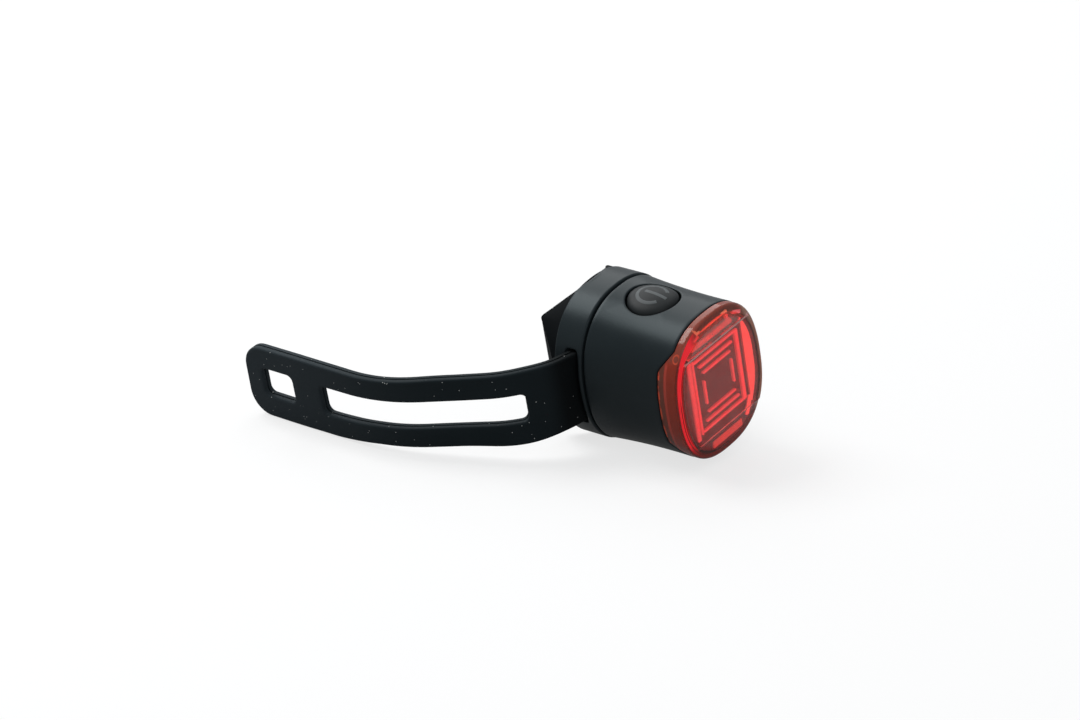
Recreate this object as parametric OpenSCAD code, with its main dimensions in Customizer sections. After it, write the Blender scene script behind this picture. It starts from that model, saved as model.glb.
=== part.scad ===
// Rechargeable bicycle rear light on a silicone strap.
// The origin is on the seat post's axis at the light's middle height, +Z runs up the post and the lens
// faces -Y. The strap leaves the left side (-X) and its hook is on the right side.

/* [Seat post] */
// Diameter of the seat post that the saddle fits
post_d = 25.4; // [25.4:0.1:28]
// Free space between the post and the hard rim of the rear cover
post_gap = 0.3; // [0.2:0.1:0.6]

/* [Housing] */
// Width at the seam
body_w = 30; // [29:0.5:34]
// Height at the seam
body_h = 34; // [33:0.5:38]
// Squareness of the section at the seam, where 2 is an ellipse
body_n = 2.3; // [2.2:0.05:2.8]
// Width at the front edge
front_w = 27.9; // [27:0.1:30]
// Height at the front edge
front_h = 31.6; // [31:0.1:34]
// Squareness of the section at the front edge
front_n = 2.5; // [2.3:0.05:2.8]
// How far the sides draw in between the seam and the front edge
waist = 0.3; // [0:0.1:0.6]
// Length from the seam to the front edge
housing_l = 21.1; // [20.5:0.1:26]
// Thickness of the shell
wall = 1.8; // [1.6:0.1:2]
// Thickness of the shell outside the lens skirt
rebate_wall = 0.9; // [0.8:0.05:1]
// Width of the open seam groove
seam_gap = 0.4; // [0.3:0.05:0.6]
// Chamfer along the seam's edges
seam_edge = 0.4; // [0.2:0.05:0.5]
// Clearance between pieces that are fixed to each other
fit = 0.1; // [0.05:0.01:0.15]

/* [Lens] */
// How far the lens rim stands out of the housing's front edge
lens_proud = 2.25; // [2:0.05:3]
// How far the flat front of the lens stands out of its rim
lens_crown = 0.5; // [0.3:0.05:0.6]
// Height of the flat front along Z, from its lower ridge to its upper one
crown_h = 19.8; // [18:0.2:21]
// How far the sides of the flat front lie inside the rim
crown_in = 0.4; // [0.2:0.05:0.6]
// Thickness of the flat lens front
lens_t = 1.2; // [0.9:0.05:1.3]
// Thickness of the skirt that slides into the housing
skirt_t = 0.8; // [0.7:0.05:0.9]
// How far the skirt reaches into the housing
skirt_l = 3.4; // [3.2:0.05:3.8]
// Rounding of the lens rim
lens_round = 0.8; // [0.6:0.1:1]
// How far the side windows reach back into the housing
window_l = 2.95; // [2.4:0.05:3]
// Height of a side window at the front edge
window_h = 24.6; // [22:0.2:25]
// Height of a side window at its back edge
window_back_h = 17; // [15:0.2:18]
// Thickness of the seal behind the skirt
lens_seal_t = 1; // [0.6:0.1:1.4]

/* [Optic and LEDs] */
// Width of the largest square of ribs
rib_square_w = 15.2; // [13:0.1:15.4]
// Height of the largest square of ribs
rib_square_h = 16.6; // [15:0.1:17.2]
// Width of one rib
rib_w = 0.5; // [0.4:0.05:0.8]
// Distance from one rib to the next
rib_step = 1.75; // [1.4:0.05:1.9]
// Height of the ribs above the plate
rib_h = 0.7; // [0.4:0.05:1]
// Thickness of the optic's plate
optic_t = 1; // [0.8:0.1:1.4]
// Distance of a side prism's straight edge from the middle
prism_x = 9; // [8.6:0.1:9.4]
// Height of the side prisms
prism_h = 18.4; // [16:0.2:19]
// Length of the bar prisms above and below
prism_bar_l = 10.4; // [8:0.2:10.6]
// Width of those bars
prism_bar_w = 1.3; // [1:0.05:1.4]
// Distance of the bars' near edge from the middle
prism_bar_z = 11.8; // [11.4:0.1:11.9]
// Diameter of a cup at the LED
cup_d = 4.4; // [4.2:0.1:4.8]
// Diameter of a cup at the optic
cup_mouth_d = 6.2; // [5.4:0.1:6.4]
// Spacing of the corner LEDs across
led_pitch_x = 11; // [10.4:0.2:11.4]
// Spacing of the corner LEDs up and down
led_pitch_z = 13; // [12:0.2:14]
// Side of one LED
led_s = 2.8; // [2:0.1:2.9]
// Height of one LED
led_h = 0.9; // [0.6:0.1:1.4]

/* [Circuit and battery] */
// Thickness of both circuit boards
board_t = 1; // [0.8:0.1:1.2]
// Gap between a circuit board's edge and the shell
board_gap = 0.3; // [0.2:0.05:0.5]
// Width of the ledge that the LED board rests on
ledge_w = 1.4; // [1:0.1:2]
// Thickness of that ledge
ledge_t = 1.2; // [1:0.1:1.6]
// Distance of the battery's side from the housing's side
battery_in = 4.5; // [4.5:0.1:6.5]
// Gap between the battery and the screw bosses
battery_gap = 0.9; // [0.6:0.1:2]
// Thickness of the battery
battery_t = 4.4; // [3.5:0.1:4.4]
// Rounding of the battery's corners
battery_r = 1; // [0.6:0.1:1.4]
// Gap between the foam behind the battery and the block of the strap's slot
foam_gap = 0.7; // [0.4:0.1:2]
// How far the foam's top and bottom lie inside the battery's
foam_in = 1.5; // [1:0.1:3]

/* [Button] */
// Diameter of the button
button_d = 10.7; // [10:0.1:11.4]
// Distance from the seam to the button's middle
button_back = 8.85; // [8.6:0.05:10]
// Free ring round the button
button_gap = 0.3; // [0.2:0.05:0.4]
// How far the button stands out of the housing
button_proud = 0.6; // [0.2:0.05:0.8]
// Travel of the button
button_travel = 0.6; // [0.3:0.05:0.7]
// Width of the flange that keeps the button in
flange_w = 0.9; // [0.7:0.05:1]
// Thickness of that flange
flange_t = 1; // [0.8:0.1:1.2]
// Depth of the flange's seat below the housing's top
seat_depth = 3.9; // [3.6:0.1:4.4]
// Diameter of the button's stem and of the switch's plunger
plunger_d = 3.4; // [2.8:0.1:4]
// Length of the stem below the flange
stem_l = 1.6; // [1.4:0.1:2.4]
// How far the plunger stands out of the switch
plunger_l = 1.2; // [0.9:0.1:1.6]
// How far the plunger reaches into the switch
plunger_in = 1.2; // [0.9:0.1:1.5]
// Width of the switch
switch_w = 6; // [5.5:0.1:7]
// Height of the switch
switch_h = 3.5; // [3:0.1:4]
// Wall of the switch in front of its plunger
switch_wall = 0.8; // [0.6:0.1:1]
// Running clearance of the plunger
plunger_run = 0.05; // [0.02:0.01:0.08]

/* [Charging port] */
// Width of the charging socket
socket_w = 8.94; // [8.5:0.02:9.2]
// Depth of the charging socket, front to back
socket_h = 3.2; // [3:0.02:3.4]
// Length of the charging socket
socket_l = 7.3; // [6.5:0.1:8]
// Wall of the socket's shell
socket_wall = 0.3; // [0.2:0.02:0.35]
// Thickness of the socket's closed end
socket_end = 1; // [0.8:0.1:1.2]
// Thickness of the socket's tongue
tongue_t = 0.7; // [0.6:0.02:0.8]
// Distance of the tongue's end inside the socket's mouth
tongue_in = 0.8; // [0.5:0.1:1.2]
// Free space round the socket's opening in the housing
port_gap = 0.25; // [0.15:0.05:0.3]
// Width of the port flap
flap_w = 13; // [12:0.2:14]
// Length of the port flap, front to back
flap_l = 8.4; // [8:0.1:9]
// Thickness of the port flap
flap_t = 1.2; // [1.1:0.05:1.4]
// Width of the flap's hinge roll
flap_roll_w = 5; // [4:0.2:6]
// Diameter of the flap's hinge roll
flap_roll_d = 1.1; // [0.9:0.05:1.1]
// Free space round the flap
flap_gap = 0.25; // [0.2:0.05:0.4]
// Depth of the flap's plug
plug_l = 1.3; // [0.8:0.1:1.5]
// Gap between the flap's plug and the opening, front and back
plug_gap = 0.55; // [0.5:0.05:0.7]
// Width of the thick wall beyond the flap
port_rim = 1; // [0.8:0.1:1.4]
// Thickness of the housing round the port
port_wall = 3.4; // [3.2:0.1:3.8]

/* [Rear cover] */
// Length of the cover from the seam to its rear rim
cover_l = 7.05; // [7:0.05:8]
// How far the rim stands behind the saddle's deepest line
rim_back = 0.4; // [0.2:0.05:0.6]
// Depth of the recess that holds the pad
recess_l = 2.2; // [2:0.1:2.4]
// Width of the rim round the pad
rim_w = 1.5; // [1.3:0.1:1.8]
// Thickness of the floor between pad and battery
floor_t = 2.4; // [2.2:0.1:2.6]
// Width of the seal in the seam
seal_w = 0.7; // [0.5:0.05:0.8]
// Depth of the seal below the surface
seal_depth = 0.8; // [0.6:0.05:0.9]

/* [Cover screws] */
// Diameter of a screw
screw_d = 2; // [1.6:0.1:2.2]
// Length of a screw under its head
screw_l = 7; // [6:0.1:7.2]
// Diameter of a screw head
screw_head_d = 3.6; // [3.2:0.1:3.8]
// Height of a screw head
screw_head_l = 1.2; // [1:0.05:1.3]
// Diameter of the hexagon in the head, across its corners
screw_hex_d = 1.7; // [1.4:0.05:1.8]
// Diameter of a screw boss
boss_d = 4.4; // [4:0.1:4.6]
// Length of a boss inside the housing
boss_l = 4.55; // [4.45:0.05:4.7]
// Distance of a boss from the housing's side
boss_in_x = 7; // [6.9:0.05:7.1]
// Distance of a boss from the housing's top or bottom
boss_in_z = 5.4; // [5.2:0.1:5.5]

/* [Saddle pad] */
// Distance between the inner edges of the pad's ears
ear_w = 21.2; // [20.8:0.1:21.6]
// Width of an ear at its tip
ear_tip_w = 0.4; // [0.3:0.05:0.8]
// How far the pad lies inside the outline of the rear cover
pad_inset = 0.1; // [0.1:0.05:0.4]

/* [Strap] */
// Width of the strap
strap_w = 16; // [14:0.5:16.5]
// Thickness of the strap
strap_t = 2.4; // [2:0.1:2.6]
// Angle by which the strap leaves the slot towards the rear
strap_leave = 16; // [12:1:20]
// Radius of the first bend
bend_r = 21; // [19:0.5:24]
// Turn of the first bend
bend_turn = 45; // [41:1:49]
// Straight length between the two bends
mid_l = 13.5; // [10:0.5:18]
// Radius of the second bend
end_bend_r = 32; // [28:1:36]
// Distance from the neck to the long window
window_start = 8.8; // [8:0.2:12]
// Length of the long window
window_run = 45.6; // [42:0.2:50]
// Height of the long window, between the two rails
window_w = 6.4; // [6.2:0.2:8]
// Length of the bar between the window and the square hole
bar_l = 8.4; // [5:0.2:9]
// Length of the square hole
hole_l = 8.3; // [7:0.1:9]
// Height of the square hole
hole_w = 6.4; // [6.2:0.2:8]
// Length of the end bar beyond the square hole
tip_l = 4.4; // [4:0.1:5.5]
// Rounding of the strap's end
tip_r = 5; // [3:0.5:6]
// Distance of the neck's bending line from the housing's side
neck_out = 1.5; // [1.4:0.1:2]
// Distance from the seam to the middle of the strap's slot
slot_back = 3.2; // [3.1:0.05:3.4]
// Gap at the neck's bending line
neck_gap = 0.6; // [0.5:0.05:0.7]
// Diameter of the bead at the strap's root
bead_d = 4.2; // [3.8:0.1:4.2]
// Distance of the bead inside the housing's side
bead_in = 3.6; // [3.4:0.1:3.8]
// Free space round the strap in its slot
slot_gap = 0.35; // [0.25:0.05:0.45]
// How much the slot widens outwards on each side
slot_flare = 0.5; // [0.3:0.05:0.6]
// Depth at which the slot starts to widen
slot_flare_in = 1; // [0.8:0.1:1.4]

/* [Strap hook] */
// Free space under the hook's lip
hook_throat = 3; // [2.8:0.1:3.6]
// Thickness of the hook
hook_t = 2.2; // [1.8:0.1:2.4]
// Height of the hook along Z
hook_h = 5.8; // [4.6:0.2:6]
// Length of the hook's lip
hook_l = 7.4; // [6.6:0.1:8]
// Distance of the hook from the rear rim
hook_back = 0.8; // [0.6:0.1:1.4]

/* [Hidden] */
$fn = 64;

// Points round a lofted section, and sections along the housing
ring_points = 56;
loft_steps = 5;
// Longer than any cut needs to be, and how far a cut runs past the surface that it opens
through = 60;
over = 1;
// Lens rim: shares of its rounding at the middle section, along Y and inwards, and the draft of its side
rim_share_l = 0.3;
rim_share_in = 0.45;
rim_draft = 0.12;
// Edge of the lens front, and how the rib rows shorten at each end: at first, and from row to row
lens_edge_t = 0.2;
rib_in = 1.1;
rib_shorten = 0.95;
side_rib_h = 5.4;
// LED: height of its base and width of its dome as shares of the LED, and depth of a screw's hexagon floor
led_base_share = 0.6;
led_dome_share = 0.8;
hex_floor_share = 0.4;
// Floor left under a screw hole, and free space of the main board's notch
screw_floor = 0.4;
notch_gap = 0.5;
// Length of one step along the strap's path
path_step = 1.6;

// Planes from the seat post forward, along Y
post_r = post_d / 2;
rim_y = -post_r + rim_back;
seam_y = rim_y - cover_l;
front_y = seam_y - housing_l;
cover_front_y = seam_y + seam_gap / 2;
housing_back_y = seam_y - seam_gap / 2;
recess_y = rim_y - recess_l;
floor_y = recess_y - floor_t;

// Planes of the lens, optic and LED stack
face_y = front_y - lens_proud;
crown_y = face_y - lens_crown;
lens_in_y = crown_y + lens_t;
optic_y = lens_in_y + fit;
plate_y = optic_y + rib_h;
optic_back_y = plate_y + optic_t;
skirt_end_y = front_y + skirt_l;
led_board_y = skirt_end_y + lens_seal_t;
led_back_y = led_board_y + board_t;
lens_side = rebate_wall + fit + skirt_t;

// Circuit board that the switch and the socket are soldered to
board_back_y = housing_back_y - boss_l;
board_y = board_back_y - board_t;
battery_back_y = board_back_y + battery_t;

// Button and switch, along Z
button_y = seam_y - button_back;
button_top = body_size(button_y, 0)[2] / 2;
seat_z = button_top - seat_depth;
flange_z = seat_z - fit - flange_t;
stem_z = flange_z - stem_l;
switch_top = stem_z - plunger_l;
switch_front_y = button_y - plunger_d / 2 - switch_wall;

// Charging port under the housing
port_y = board_y - socket_h / 2;
port_z = -body_size(port_y, 0)[2] / 2;
port_in_z = port_z + port_wall;
socket_z = port_in_z + fit;
plug_h = socket_h + 2 * port_gap - 2 * plug_gap;
flap_hinge_y = port_y + flap_l / 2 - flap_roll_d / 2;
flap_hinge_z = flap_roll_d / 2 + fit - body_size(flap_hinge_y, 0)[2] / 2;

// Screws of the rear cover
boss_x = body_w / 2 - boss_in_x;
boss_z = body_h / 2 - boss_in_z;
head_y = recess_y - screw_head_l - fit;

// Battery between the bosses, and the foam beside the block of the strap's slot
battery_w = body_w - 2 * battery_in;
battery_h = 2 * (boss_z - boss_d / 2 - battery_gap);
block_x = -body_w / 2 + bead_in + bead_d;
foam_w = 2 * (-block_x - foam_gap);
foam_h = battery_h - 2 * foam_in;

// Strap: where its middle line leaves the housing, its bending line, and lengths along it
slot_y = seam_y + slot_back;
strap_heading = 180 - strap_leave;
bend_l = bend_r * bend_turn * PI / 180;
end_turn = 90 - strap_leave - bend_turn;
end_bend_l = end_bend_r * end_turn * PI / 180;
hole_start = window_start + window_run + bar_l;
strap_l = hole_start + hole_l + tip_l;

// Hook on the far side
hook_y = rim_y - hook_back;
hook_x = body_w / 2 + hook_throat;

shell_black = [0.09, 0.1, 0.11];
rubber_black = [0.05, 0.05, 0.06];
lens_red = [0.72, 0.06, 0.07, 0.75];

function mix(a, b, t) = a + (b - a) * t;
function signed_power(v, e) = sign(v) * pow(abs(v), e);

// Superellipse of width w and height h
function ring(w, h, n) = [
    for (i = [0 : ring_points - 1])
        let (t = 360 * i / ring_points)
            [w / 2 * signed_power(cos(t), 2 / n), h / 2 * signed_power(sin(t), 2 / n)]
];

// Place, width, height and squareness of the body's section at y, moved out by off
function body_size(y, off) =
    let (t = min(max((seam_y - y) / housing_l, 0), 1), draw = waist * 4 * t * (1 - t))
        [y, mix(body_w, front_w, t) - 2 * draw + 2 * off, mix(body_h, front_h, t) - 2 * draw + 2 * off,
            mix(body_n, front_n, t)];

// Skin through a list of sections, from the front to the rear
module loft(sections) {
    count = len(sections);
    points = [for (s = sections) for (p = ring(s[1], s[2], s[3])) [p[0], s[0], p[1]]];
    sides = [
        for (j = [0 : count - 2]) for (i = [0 : ring_points - 1])
            let (a = j * ring_points + i, b = j * ring_points + (i + 1) % ring_points)
                each [[a, b, b + ring_points], [a, b + ring_points, a + ring_points]]
    ];
    front_cap = [for (i = [ring_points - 1 : -1 : 0]) i];
    rear_cap = [for (i = [0 : ring_points - 1]) (count - 1) * ring_points + i];
    polyhedron(points, concat(sides, [front_cap, rear_cap]));
}

// Piece of the body's form between two planes
module body_loft(y0, y1, off, steps = loft_steps) {
    loft([for (k = [0 : steps]) body_size(mix(y0, y1, k / steps), off)]);
}

// Extrusion of an XZ outline between two planes across Y
module along_y(y0, y1) {
    translate([0, y1, 0]) rotate([90, 0, 0]) linear_extrude(y1 - y0) children();
}

// Slab with the section that the body has at plane at_y
module slab(y0, y1, at_y, off) {
    size = body_size(at_y, off);
    along_y(y0, y1) polygon(ring(size[1], size[2], size[3]));
}

module rod_y(y0, y1, d) {
    along_y(y0, y1) circle(d = d);
}

module rod_z(z0, z1, d) {
    translate([0, 0, z0]) cylinder(d = d, h = z1 - z0);
}

// Outline with round ends, w wide and h deep
module stadium(w, h) {
    for (side = [-1, 1])
        translate([side * (w - h) / 2, 0]) circle(d = h);
    square([w - h, h], center = true);
}

module at_bosses() {
    for (x = [-boss_x, boss_x], z = [-boss_z, boss_z])
        translate([x, 0, z]) children();
}

module at_leds() {
    children();
    for (x = [-led_pitch_x, led_pitch_x] / 2, z = [-led_pitch_z, led_pitch_z] / 2)
        translate([x, 0, z]) children();
}

// Side windows, as a prism across the light with slanted ends
module window_prism(gap) {
    back = front_y + window_l + gap;
    translate([-through / 2, 0, 0]) rotate([90, 0, 90]) linear_extrude(through)
        polygon([[front_y - through, -window_h / 2 - gap], [front_y, -window_h / 2 - gap],
            [back, -window_back_h / 2 - gap], [back, window_back_h / 2 + gap],
            [front_y, window_h / 2 + gap], [front_y - through, window_h / 2 + gap]]);
}

// Shell of the light, open at the front and the rear
module housing() {
    color(shell_black) difference() {
        loft([
            for (k = [0 : loft_steps])
                body_size(mix(front_y, housing_back_y - seam_edge, k / loft_steps), 0),
            body_size(housing_back_y, -seam_edge)]);
        difference() {
            body_loft(front_y - over, housing_back_y + over, -wall);
            at_bosses() rod_y(board_back_y, housing_back_y + 2 * over, boss_d);
            led_ledge();
            translate([0, button_y, 0]) rod_z(seat_z, button_top, button_d + 2 * flange_w);
            translate([0, port_y, (port_z + port_in_z) / 2])
                cube([flap_w + 2 * port_rim, flap_l + 2 * port_rim, port_wall], center = true);
        }
        at_bosses() rod_y(board_back_y + screw_floor, housing_back_y + over, screw_d + fit);
        translate([0, button_y, 0]) rod_z(seat_z - over, button_top + over, button_d + 2 * button_gap);
        port_cut();
        slab(front_y - over, led_board_y, skirt_end_y, -rebate_wall);
        window_prism(0);
    }
}

// Ledge inside the housing, behind the LED board
module led_ledge() {
    difference() {
        slab(led_back_y, led_back_y + ledge_t, led_back_y, 0);
        slab(led_back_y - over, led_back_y + ledge_t + over, led_back_y, -wall - ledge_w);
    }
}

// Opening for the charging plug, pocket for the flap and seat for its hinge
module port_cut() {
    translate([0, port_y, port_z - over]) linear_extrude(port_wall + 2 * over)
        stadium(socket_w + 2 * port_gap, socket_h + 2 * port_gap);
    difference() {
        flap_block(flap_gap);
        body_loft(port_y - flap_l, port_y + flap_l, -flap_t - fit, 2);
    }
}

// Red cap: thick rim, flat front between two ridges, side windows and the skirt inside the housing
module lens() {
    rim = body_size(front_y, -fit);
    color(lens_red) difference() {
        union() {
            loft([lens_section(face_y, lens_round),
                lens_section(face_y + lens_round * rim_share_l, lens_round * rim_share_in),
                lens_section(face_y + lens_round, rim_draft), [front_y - fit, rim[1], rim[2], rim[3]]]);
            lens_front();
            slab(front_y - over, skirt_end_y, skirt_end_y, -rebate_wall - fit);
            intersection() {
                body_loft(front_y - over, front_y + window_l + over, 0, 2);
                window_prism(-fit);
            }
        }
        slab(lens_in_y, skirt_end_y + over, skirt_end_y, -lens_side);
    }
}

// Section of the lens at y, drawn in by inset from the housing's front edge
function lens_section(y, inset) =
    let (rim = body_size(front_y, -fit - inset)) [y, rim[1], rim[2], rim[3]];

// Flat front of the lens, with a facet above and below that falls from its ridge to the rim
module lens_front() {
    edge = lens_section(face_y, lens_round);
    flat = lens_section(crown_y, lens_round + crown_in);
    hull() {
        along_y(face_y, face_y + lens_edge_t) polygon(ring(edge[1], edge[2], edge[3]));
        along_y(crown_y, face_y) intersection() {
            polygon(ring(flat[1], flat[2], flat[3]));
            square([through, crown_h], center = true);
        }
    }
}

module lens_seal() {
    color([0.2, 0.2, 0.2]) difference() {
        slab(skirt_end_y, led_board_y, skirt_end_y, -rebate_wall - fit);
        slab(skirt_end_y - over, led_board_y + over, skirt_end_y, -lens_side);
    }
}

// Light guide: nested square of ribs and four edge prisms on one plate
module optic() {
    color([0.9, 0.25, 0.22]) {
        slab(plate_y, optic_back_y, skirt_end_y, -lens_side - fit);
        along_y(optic_y, plate_y) {
            rib_frame();
            rib_rows();
            edge_prisms();
        }
    }
}

module rib_frame() {
    difference() {
        square([rib_square_w, rib_square_h], center = true);
        square([rib_square_w - 2 * rib_w, rib_square_h - 2 * rib_w], center = true);
    }
}

// Rows of shortening ribs inside the frame: two above, two below and one on each side
module rib_rows() {
    for (row = [1, 2], side = [-1, 1])
        translate([0, side * (rib_square_h / 2 - row * rib_step - rib_w / 2)])
            square([rib_square_w - 2 * (rib_in + row * rib_shorten), rib_w], center = true);
    for (side = [-1, 1])
        translate([side * (rib_square_w / 2 - rib_in - 2 * rib_shorten), 0])
            square([rib_w, side_rib_h], center = true);
}

// Two side prisms out to the lens wall, and a bar above and below
module edge_prisms() {
    size = body_size(skirt_end_y, -lens_side - fit);
    intersection() {
        polygon(ring(size[1], size[2], size[3]));
        for (side = [-1, 1]) {
            translate([side * (prism_x + through / 2), 0]) square([through, prism_h], center = true);
            translate([0, side * (prism_bar_z + prism_bar_w / 2)])
                square([prism_bar_l, prism_bar_w], center = true);
        }
    }
}

// White tray with one conical cup for each LED
module reflector() {
    tray_y = optic_back_y;
    color([0.85, 0.85, 0.83]) difference() {
        slab(tray_y, led_board_y, skirt_end_y, -lens_side - fit);
        at_leds() translate([0, led_board_y, 0]) rotate([90, 0, 0])
            cylinder(d1 = cup_d, d2 = cup_mouth_d, h = led_board_y - tray_y);
        at_leds() rod_y(led_board_y - fit, led_board_y + over, cup_d);
    }
}

module led_board() {
    color([0.1, 0.35, 0.2]) slab(led_board_y, led_back_y, led_board_y, -wall - board_gap);
}

module leds() {
    color([0.95, 0.93, 0.8]) at_leds() {
        along_y(led_board_y - led_h * led_base_share, led_board_y) square(led_s, center = true);
        rod_y(led_board_y - led_h, led_board_y - led_h * led_base_share, led_s * led_dome_share);
    }
}

// Upright board with a notch for the button, which rests on the screw bosses
module main_board() {
    notch_w = button_d + 2 * flange_w + 2 * notch_gap;
    color([0.1, 0.35, 0.2]) difference() {
        slab(board_y, board_back_y, board_y, -wall - board_gap);
        translate([-notch_w / 2, board_y - over, switch_top + notch_gap])
            cube([notch_w, board_t + 2 * over, through]);
        translate([-through / 2, board_y - over, socket_z - through])
            cube([through, board_t + 2 * over, through]);
    }
}

// Side push switch, soldered to the front of the main board
module tact_switch() {
    color([0.15, 0.15, 0.16]) difference() {
        translate([-switch_w / 2, switch_front_y, switch_top - switch_h])
            cube([switch_w, board_y - switch_front_y, switch_h]);
        translate([0, button_y, 0])
            rod_z(switch_top - plunger_in - button_travel - 2 * fit, switch_top + over,
                plunger_d + 2 * plunger_run);
    }
}

module switch_plunger() {
    color([0.75, 0.75, 0.72]) translate([0, button_y, 0]) rod_z(switch_top - plunger_in, stem_z, plunger_d);
}

// Rubber button: its top follows the housing, its flange keeps it in
module button() {
    color(rubber_black) {
        intersection() {
            translate([0, button_y, 0]) rod_z(flange_z, button_top + 2 * over, button_d);
            body_loft(button_y - button_d, button_y + button_d, button_proud, 2);
        }
        translate([0, button_y, 0]) rod_z(flange_z, flange_z + flange_t, button_d + 2 * flange_w);
        translate([0, button_y, 0]) rod_z(stem_z, flange_z + flange_t / 2, plunger_d);
    }
}

module usb_socket() {
    color([0.75, 0.76, 0.78]) translate([0, port_y, socket_z]) difference() {
        linear_extrude(socket_l) stadium(socket_w, socket_h);
        translate([0, 0, -over]) linear_extrude(socket_l - socket_end + over)
            stadium(socket_w - 2 * socket_wall, socket_h - 2 * socket_wall);
    }
}

module usb_tongue() {
    tongue_w = socket_w - socket_h;
    color([0.1, 0.1, 0.1]) translate([-tongue_w / 2, port_y - tongue_t / 2, socket_z + tongue_in])
        cube([tongue_w, tongue_t, socket_l - socket_end - tongue_in]);
}

// Block that the flap and its pocket are cut from
module flap_block(gap) {
    translate([-flap_w / 2 - gap, port_y - flap_l / 2 - gap, port_z - over])
        cube([flap_w + 2 * gap, flap_l + 2 * gap, port_wall]);
}

// Rubber flap over the charging port, flush with the housing, with a plug and a hinge roll
module port_flap() {
    color(rubber_black) {
        difference() {
            intersection() {
                body_loft(port_y - flap_l, port_y + flap_l, 0, 2);
                translate([0, -flap_roll_d / 2, 0]) flap_block(0);
                flap_block(0);
            }
            body_loft(port_y - flap_l, port_y + flap_l, -flap_t, 2);
        }
        translate([-flap_roll_w / 2, flap_hinge_y, flap_hinge_z]) rotate([0, 90, 0])
            cylinder(d = flap_roll_d, h = flap_roll_w);
        translate([0, port_y, port_z + flap_t / 2]) linear_extrude(plug_l + flap_t / 2)
            stadium(socket_w + 2 * port_gap - 2 * plug_gap, plug_h);
    }
}

module battery() {
    color([0.7, 0.72, 0.75]) along_y(board_back_y, battery_back_y) {
        square([battery_w, battery_h - 2 * battery_r], center = true);
        square([battery_w - 2 * battery_r, battery_h], center = true);
        for (x = [-1, 1], z = [-1, 1])
            translate([x * (battery_w / 2 - battery_r), z * (battery_h / 2 - battery_r)])
                circle(r = battery_r);
    }
}

module battery_foam() {
    color([0.25, 0.25, 0.27]) along_y(battery_back_y, floor_y) square([foam_w, foam_h], center = true);
}

// Frame at the point where the strap's middle line passes the housing's side, x along the strap
module at_slot() {
    translate([-body_w / 2, slot_y, 0]) rotate(strap_heading) children();
}

// Hard cover: rim and recess for the pad, floor, screw pillars, strap slot and hook
module rear_cover() {
    color(shell_black) difference() {
        union() {
            difference() {
                loft([body_size(cover_front_y, -seam_edge), body_size(cover_front_y + seam_edge, 0),
                    body_size(rim_y, 0)]);
                difference() {
                    slab(cover_front_y - over, floor_y, seam_y, -wall);
                    translate([-body_w, cover_front_y - 2 * over, -body_h / 2])
                        cube([body_w + block_x, cover_l, body_h]);
                    at_bosses() rod_y(cover_front_y - 2 * over, floor_y + over, boss_d);
                }
                slab(recess_y, rim_y + over, seam_y, -rim_w);
            }
            at_bosses() rod_y(cover_front_y, floor_y, boss_d);
            intersection() {
                at_bosses() rod_y(housing_back_y, cover_front_y + over, boss_d);
                slab(housing_back_y, cover_front_y + over, seam_y, -seal_depth - seal_w - fit);
            }
            hook();
        }
        rod_z(-through, through, post_d + 2 * post_gap);
        at_bosses() rod_y(housing_back_y - over, recess_y + fit, screw_d + 2 * fit);
        at_bosses() rod_y(head_y, recess_y + fit, screw_head_d + 2 * fit);
        at_slot() strap_slot();
    }
}

// Room for the strap's root: a bead channel and a mouth that flares outwards
module strap_slot() {
    h = strap_w + 2 * slot_gap;
    inner = strap_t / 2 + slot_gap;
    outer = inner + slot_flare;
    flare_out = neck_out + fit;
    translate([0, 0, -h / 2]) linear_extrude(h)
        polygon([[-bead_in, -inner], [-bead_in, inner], [-slot_flare_in, inner], [flare_out, outer],
            [flare_out, -outer], [-slot_flare_in, -inner]]);
    translate([-bead_in, 0, 0]) rod_z(-h / 2, h / 2, bead_d + 2 * fit);
}

// Hook for the strap's square hole: a stem out of the side and a lip that points forward
module hook() {
    translate([0, 0, -hook_h / 2]) linear_extrude(hook_h) {
        translate([body_w / 2 - rim_w + fit, hook_y - hook_t])
            square([hook_throat + rim_w - fit + hook_t / 2, hook_t]);
        translate([hook_x, hook_y - hook_l + hook_t / 2]) square([hook_t, hook_l - hook_t]);
        translate([hook_x + hook_t / 2, hook_y - hook_t / 2]) circle(d = hook_t);
        translate([hook_x + hook_t / 2, hook_y - hook_l + hook_t / 2]) circle(d = hook_t);
    }
}

module cover_seal() {
    color([0.12, 0.12, 0.12]) difference() {
        slab(housing_back_y, cover_front_y, seam_y, -seal_depth);
        slab(housing_back_y - over, cover_front_y + over, seam_y, -seal_depth - seal_w);
    }
}

module cover_screws() {
    color([0.7, 0.7, 0.72]) at_bosses() difference() {
        union() {
            rod_y(head_y, head_y + screw_head_l, screw_head_d);
            rod_y(head_y - screw_l, head_y, screw_d);
        }
        translate([0, head_y + screw_head_l * hex_floor_share, 0]) rotate([-90, 0, 0])
            cylinder(d = screw_hex_d, h = screw_head_l, $fn = 6);
    }
}

// Soft pad: fills the recess, stands over the rim and grips the post between its ears
module saddle_pad() {
    tip_y = -sqrt(pow(post_r, 2) - pow(ear_w / 2, 2));
    base_w = body_w - 2 * pad_inset;
    tip_w = ear_w + 2 * ear_tip_w;
    color(rubber_black) difference() {
        union() {
            slab(recess_y, rim_y, seam_y, -rim_w - fit);
            intersection() {
                slab(rim_y, tip_y, seam_y, -pad_inset);
                linear_extrude(through, center = true)
                    polygon([[-base_w / 2, rim_y], [base_w / 2, rim_y],
                        [tip_w / 2, tip_y], [-tip_w / 2, tip_y]]);
            }
        }
        rod_z(-through, through, post_d);
    }
}

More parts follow.
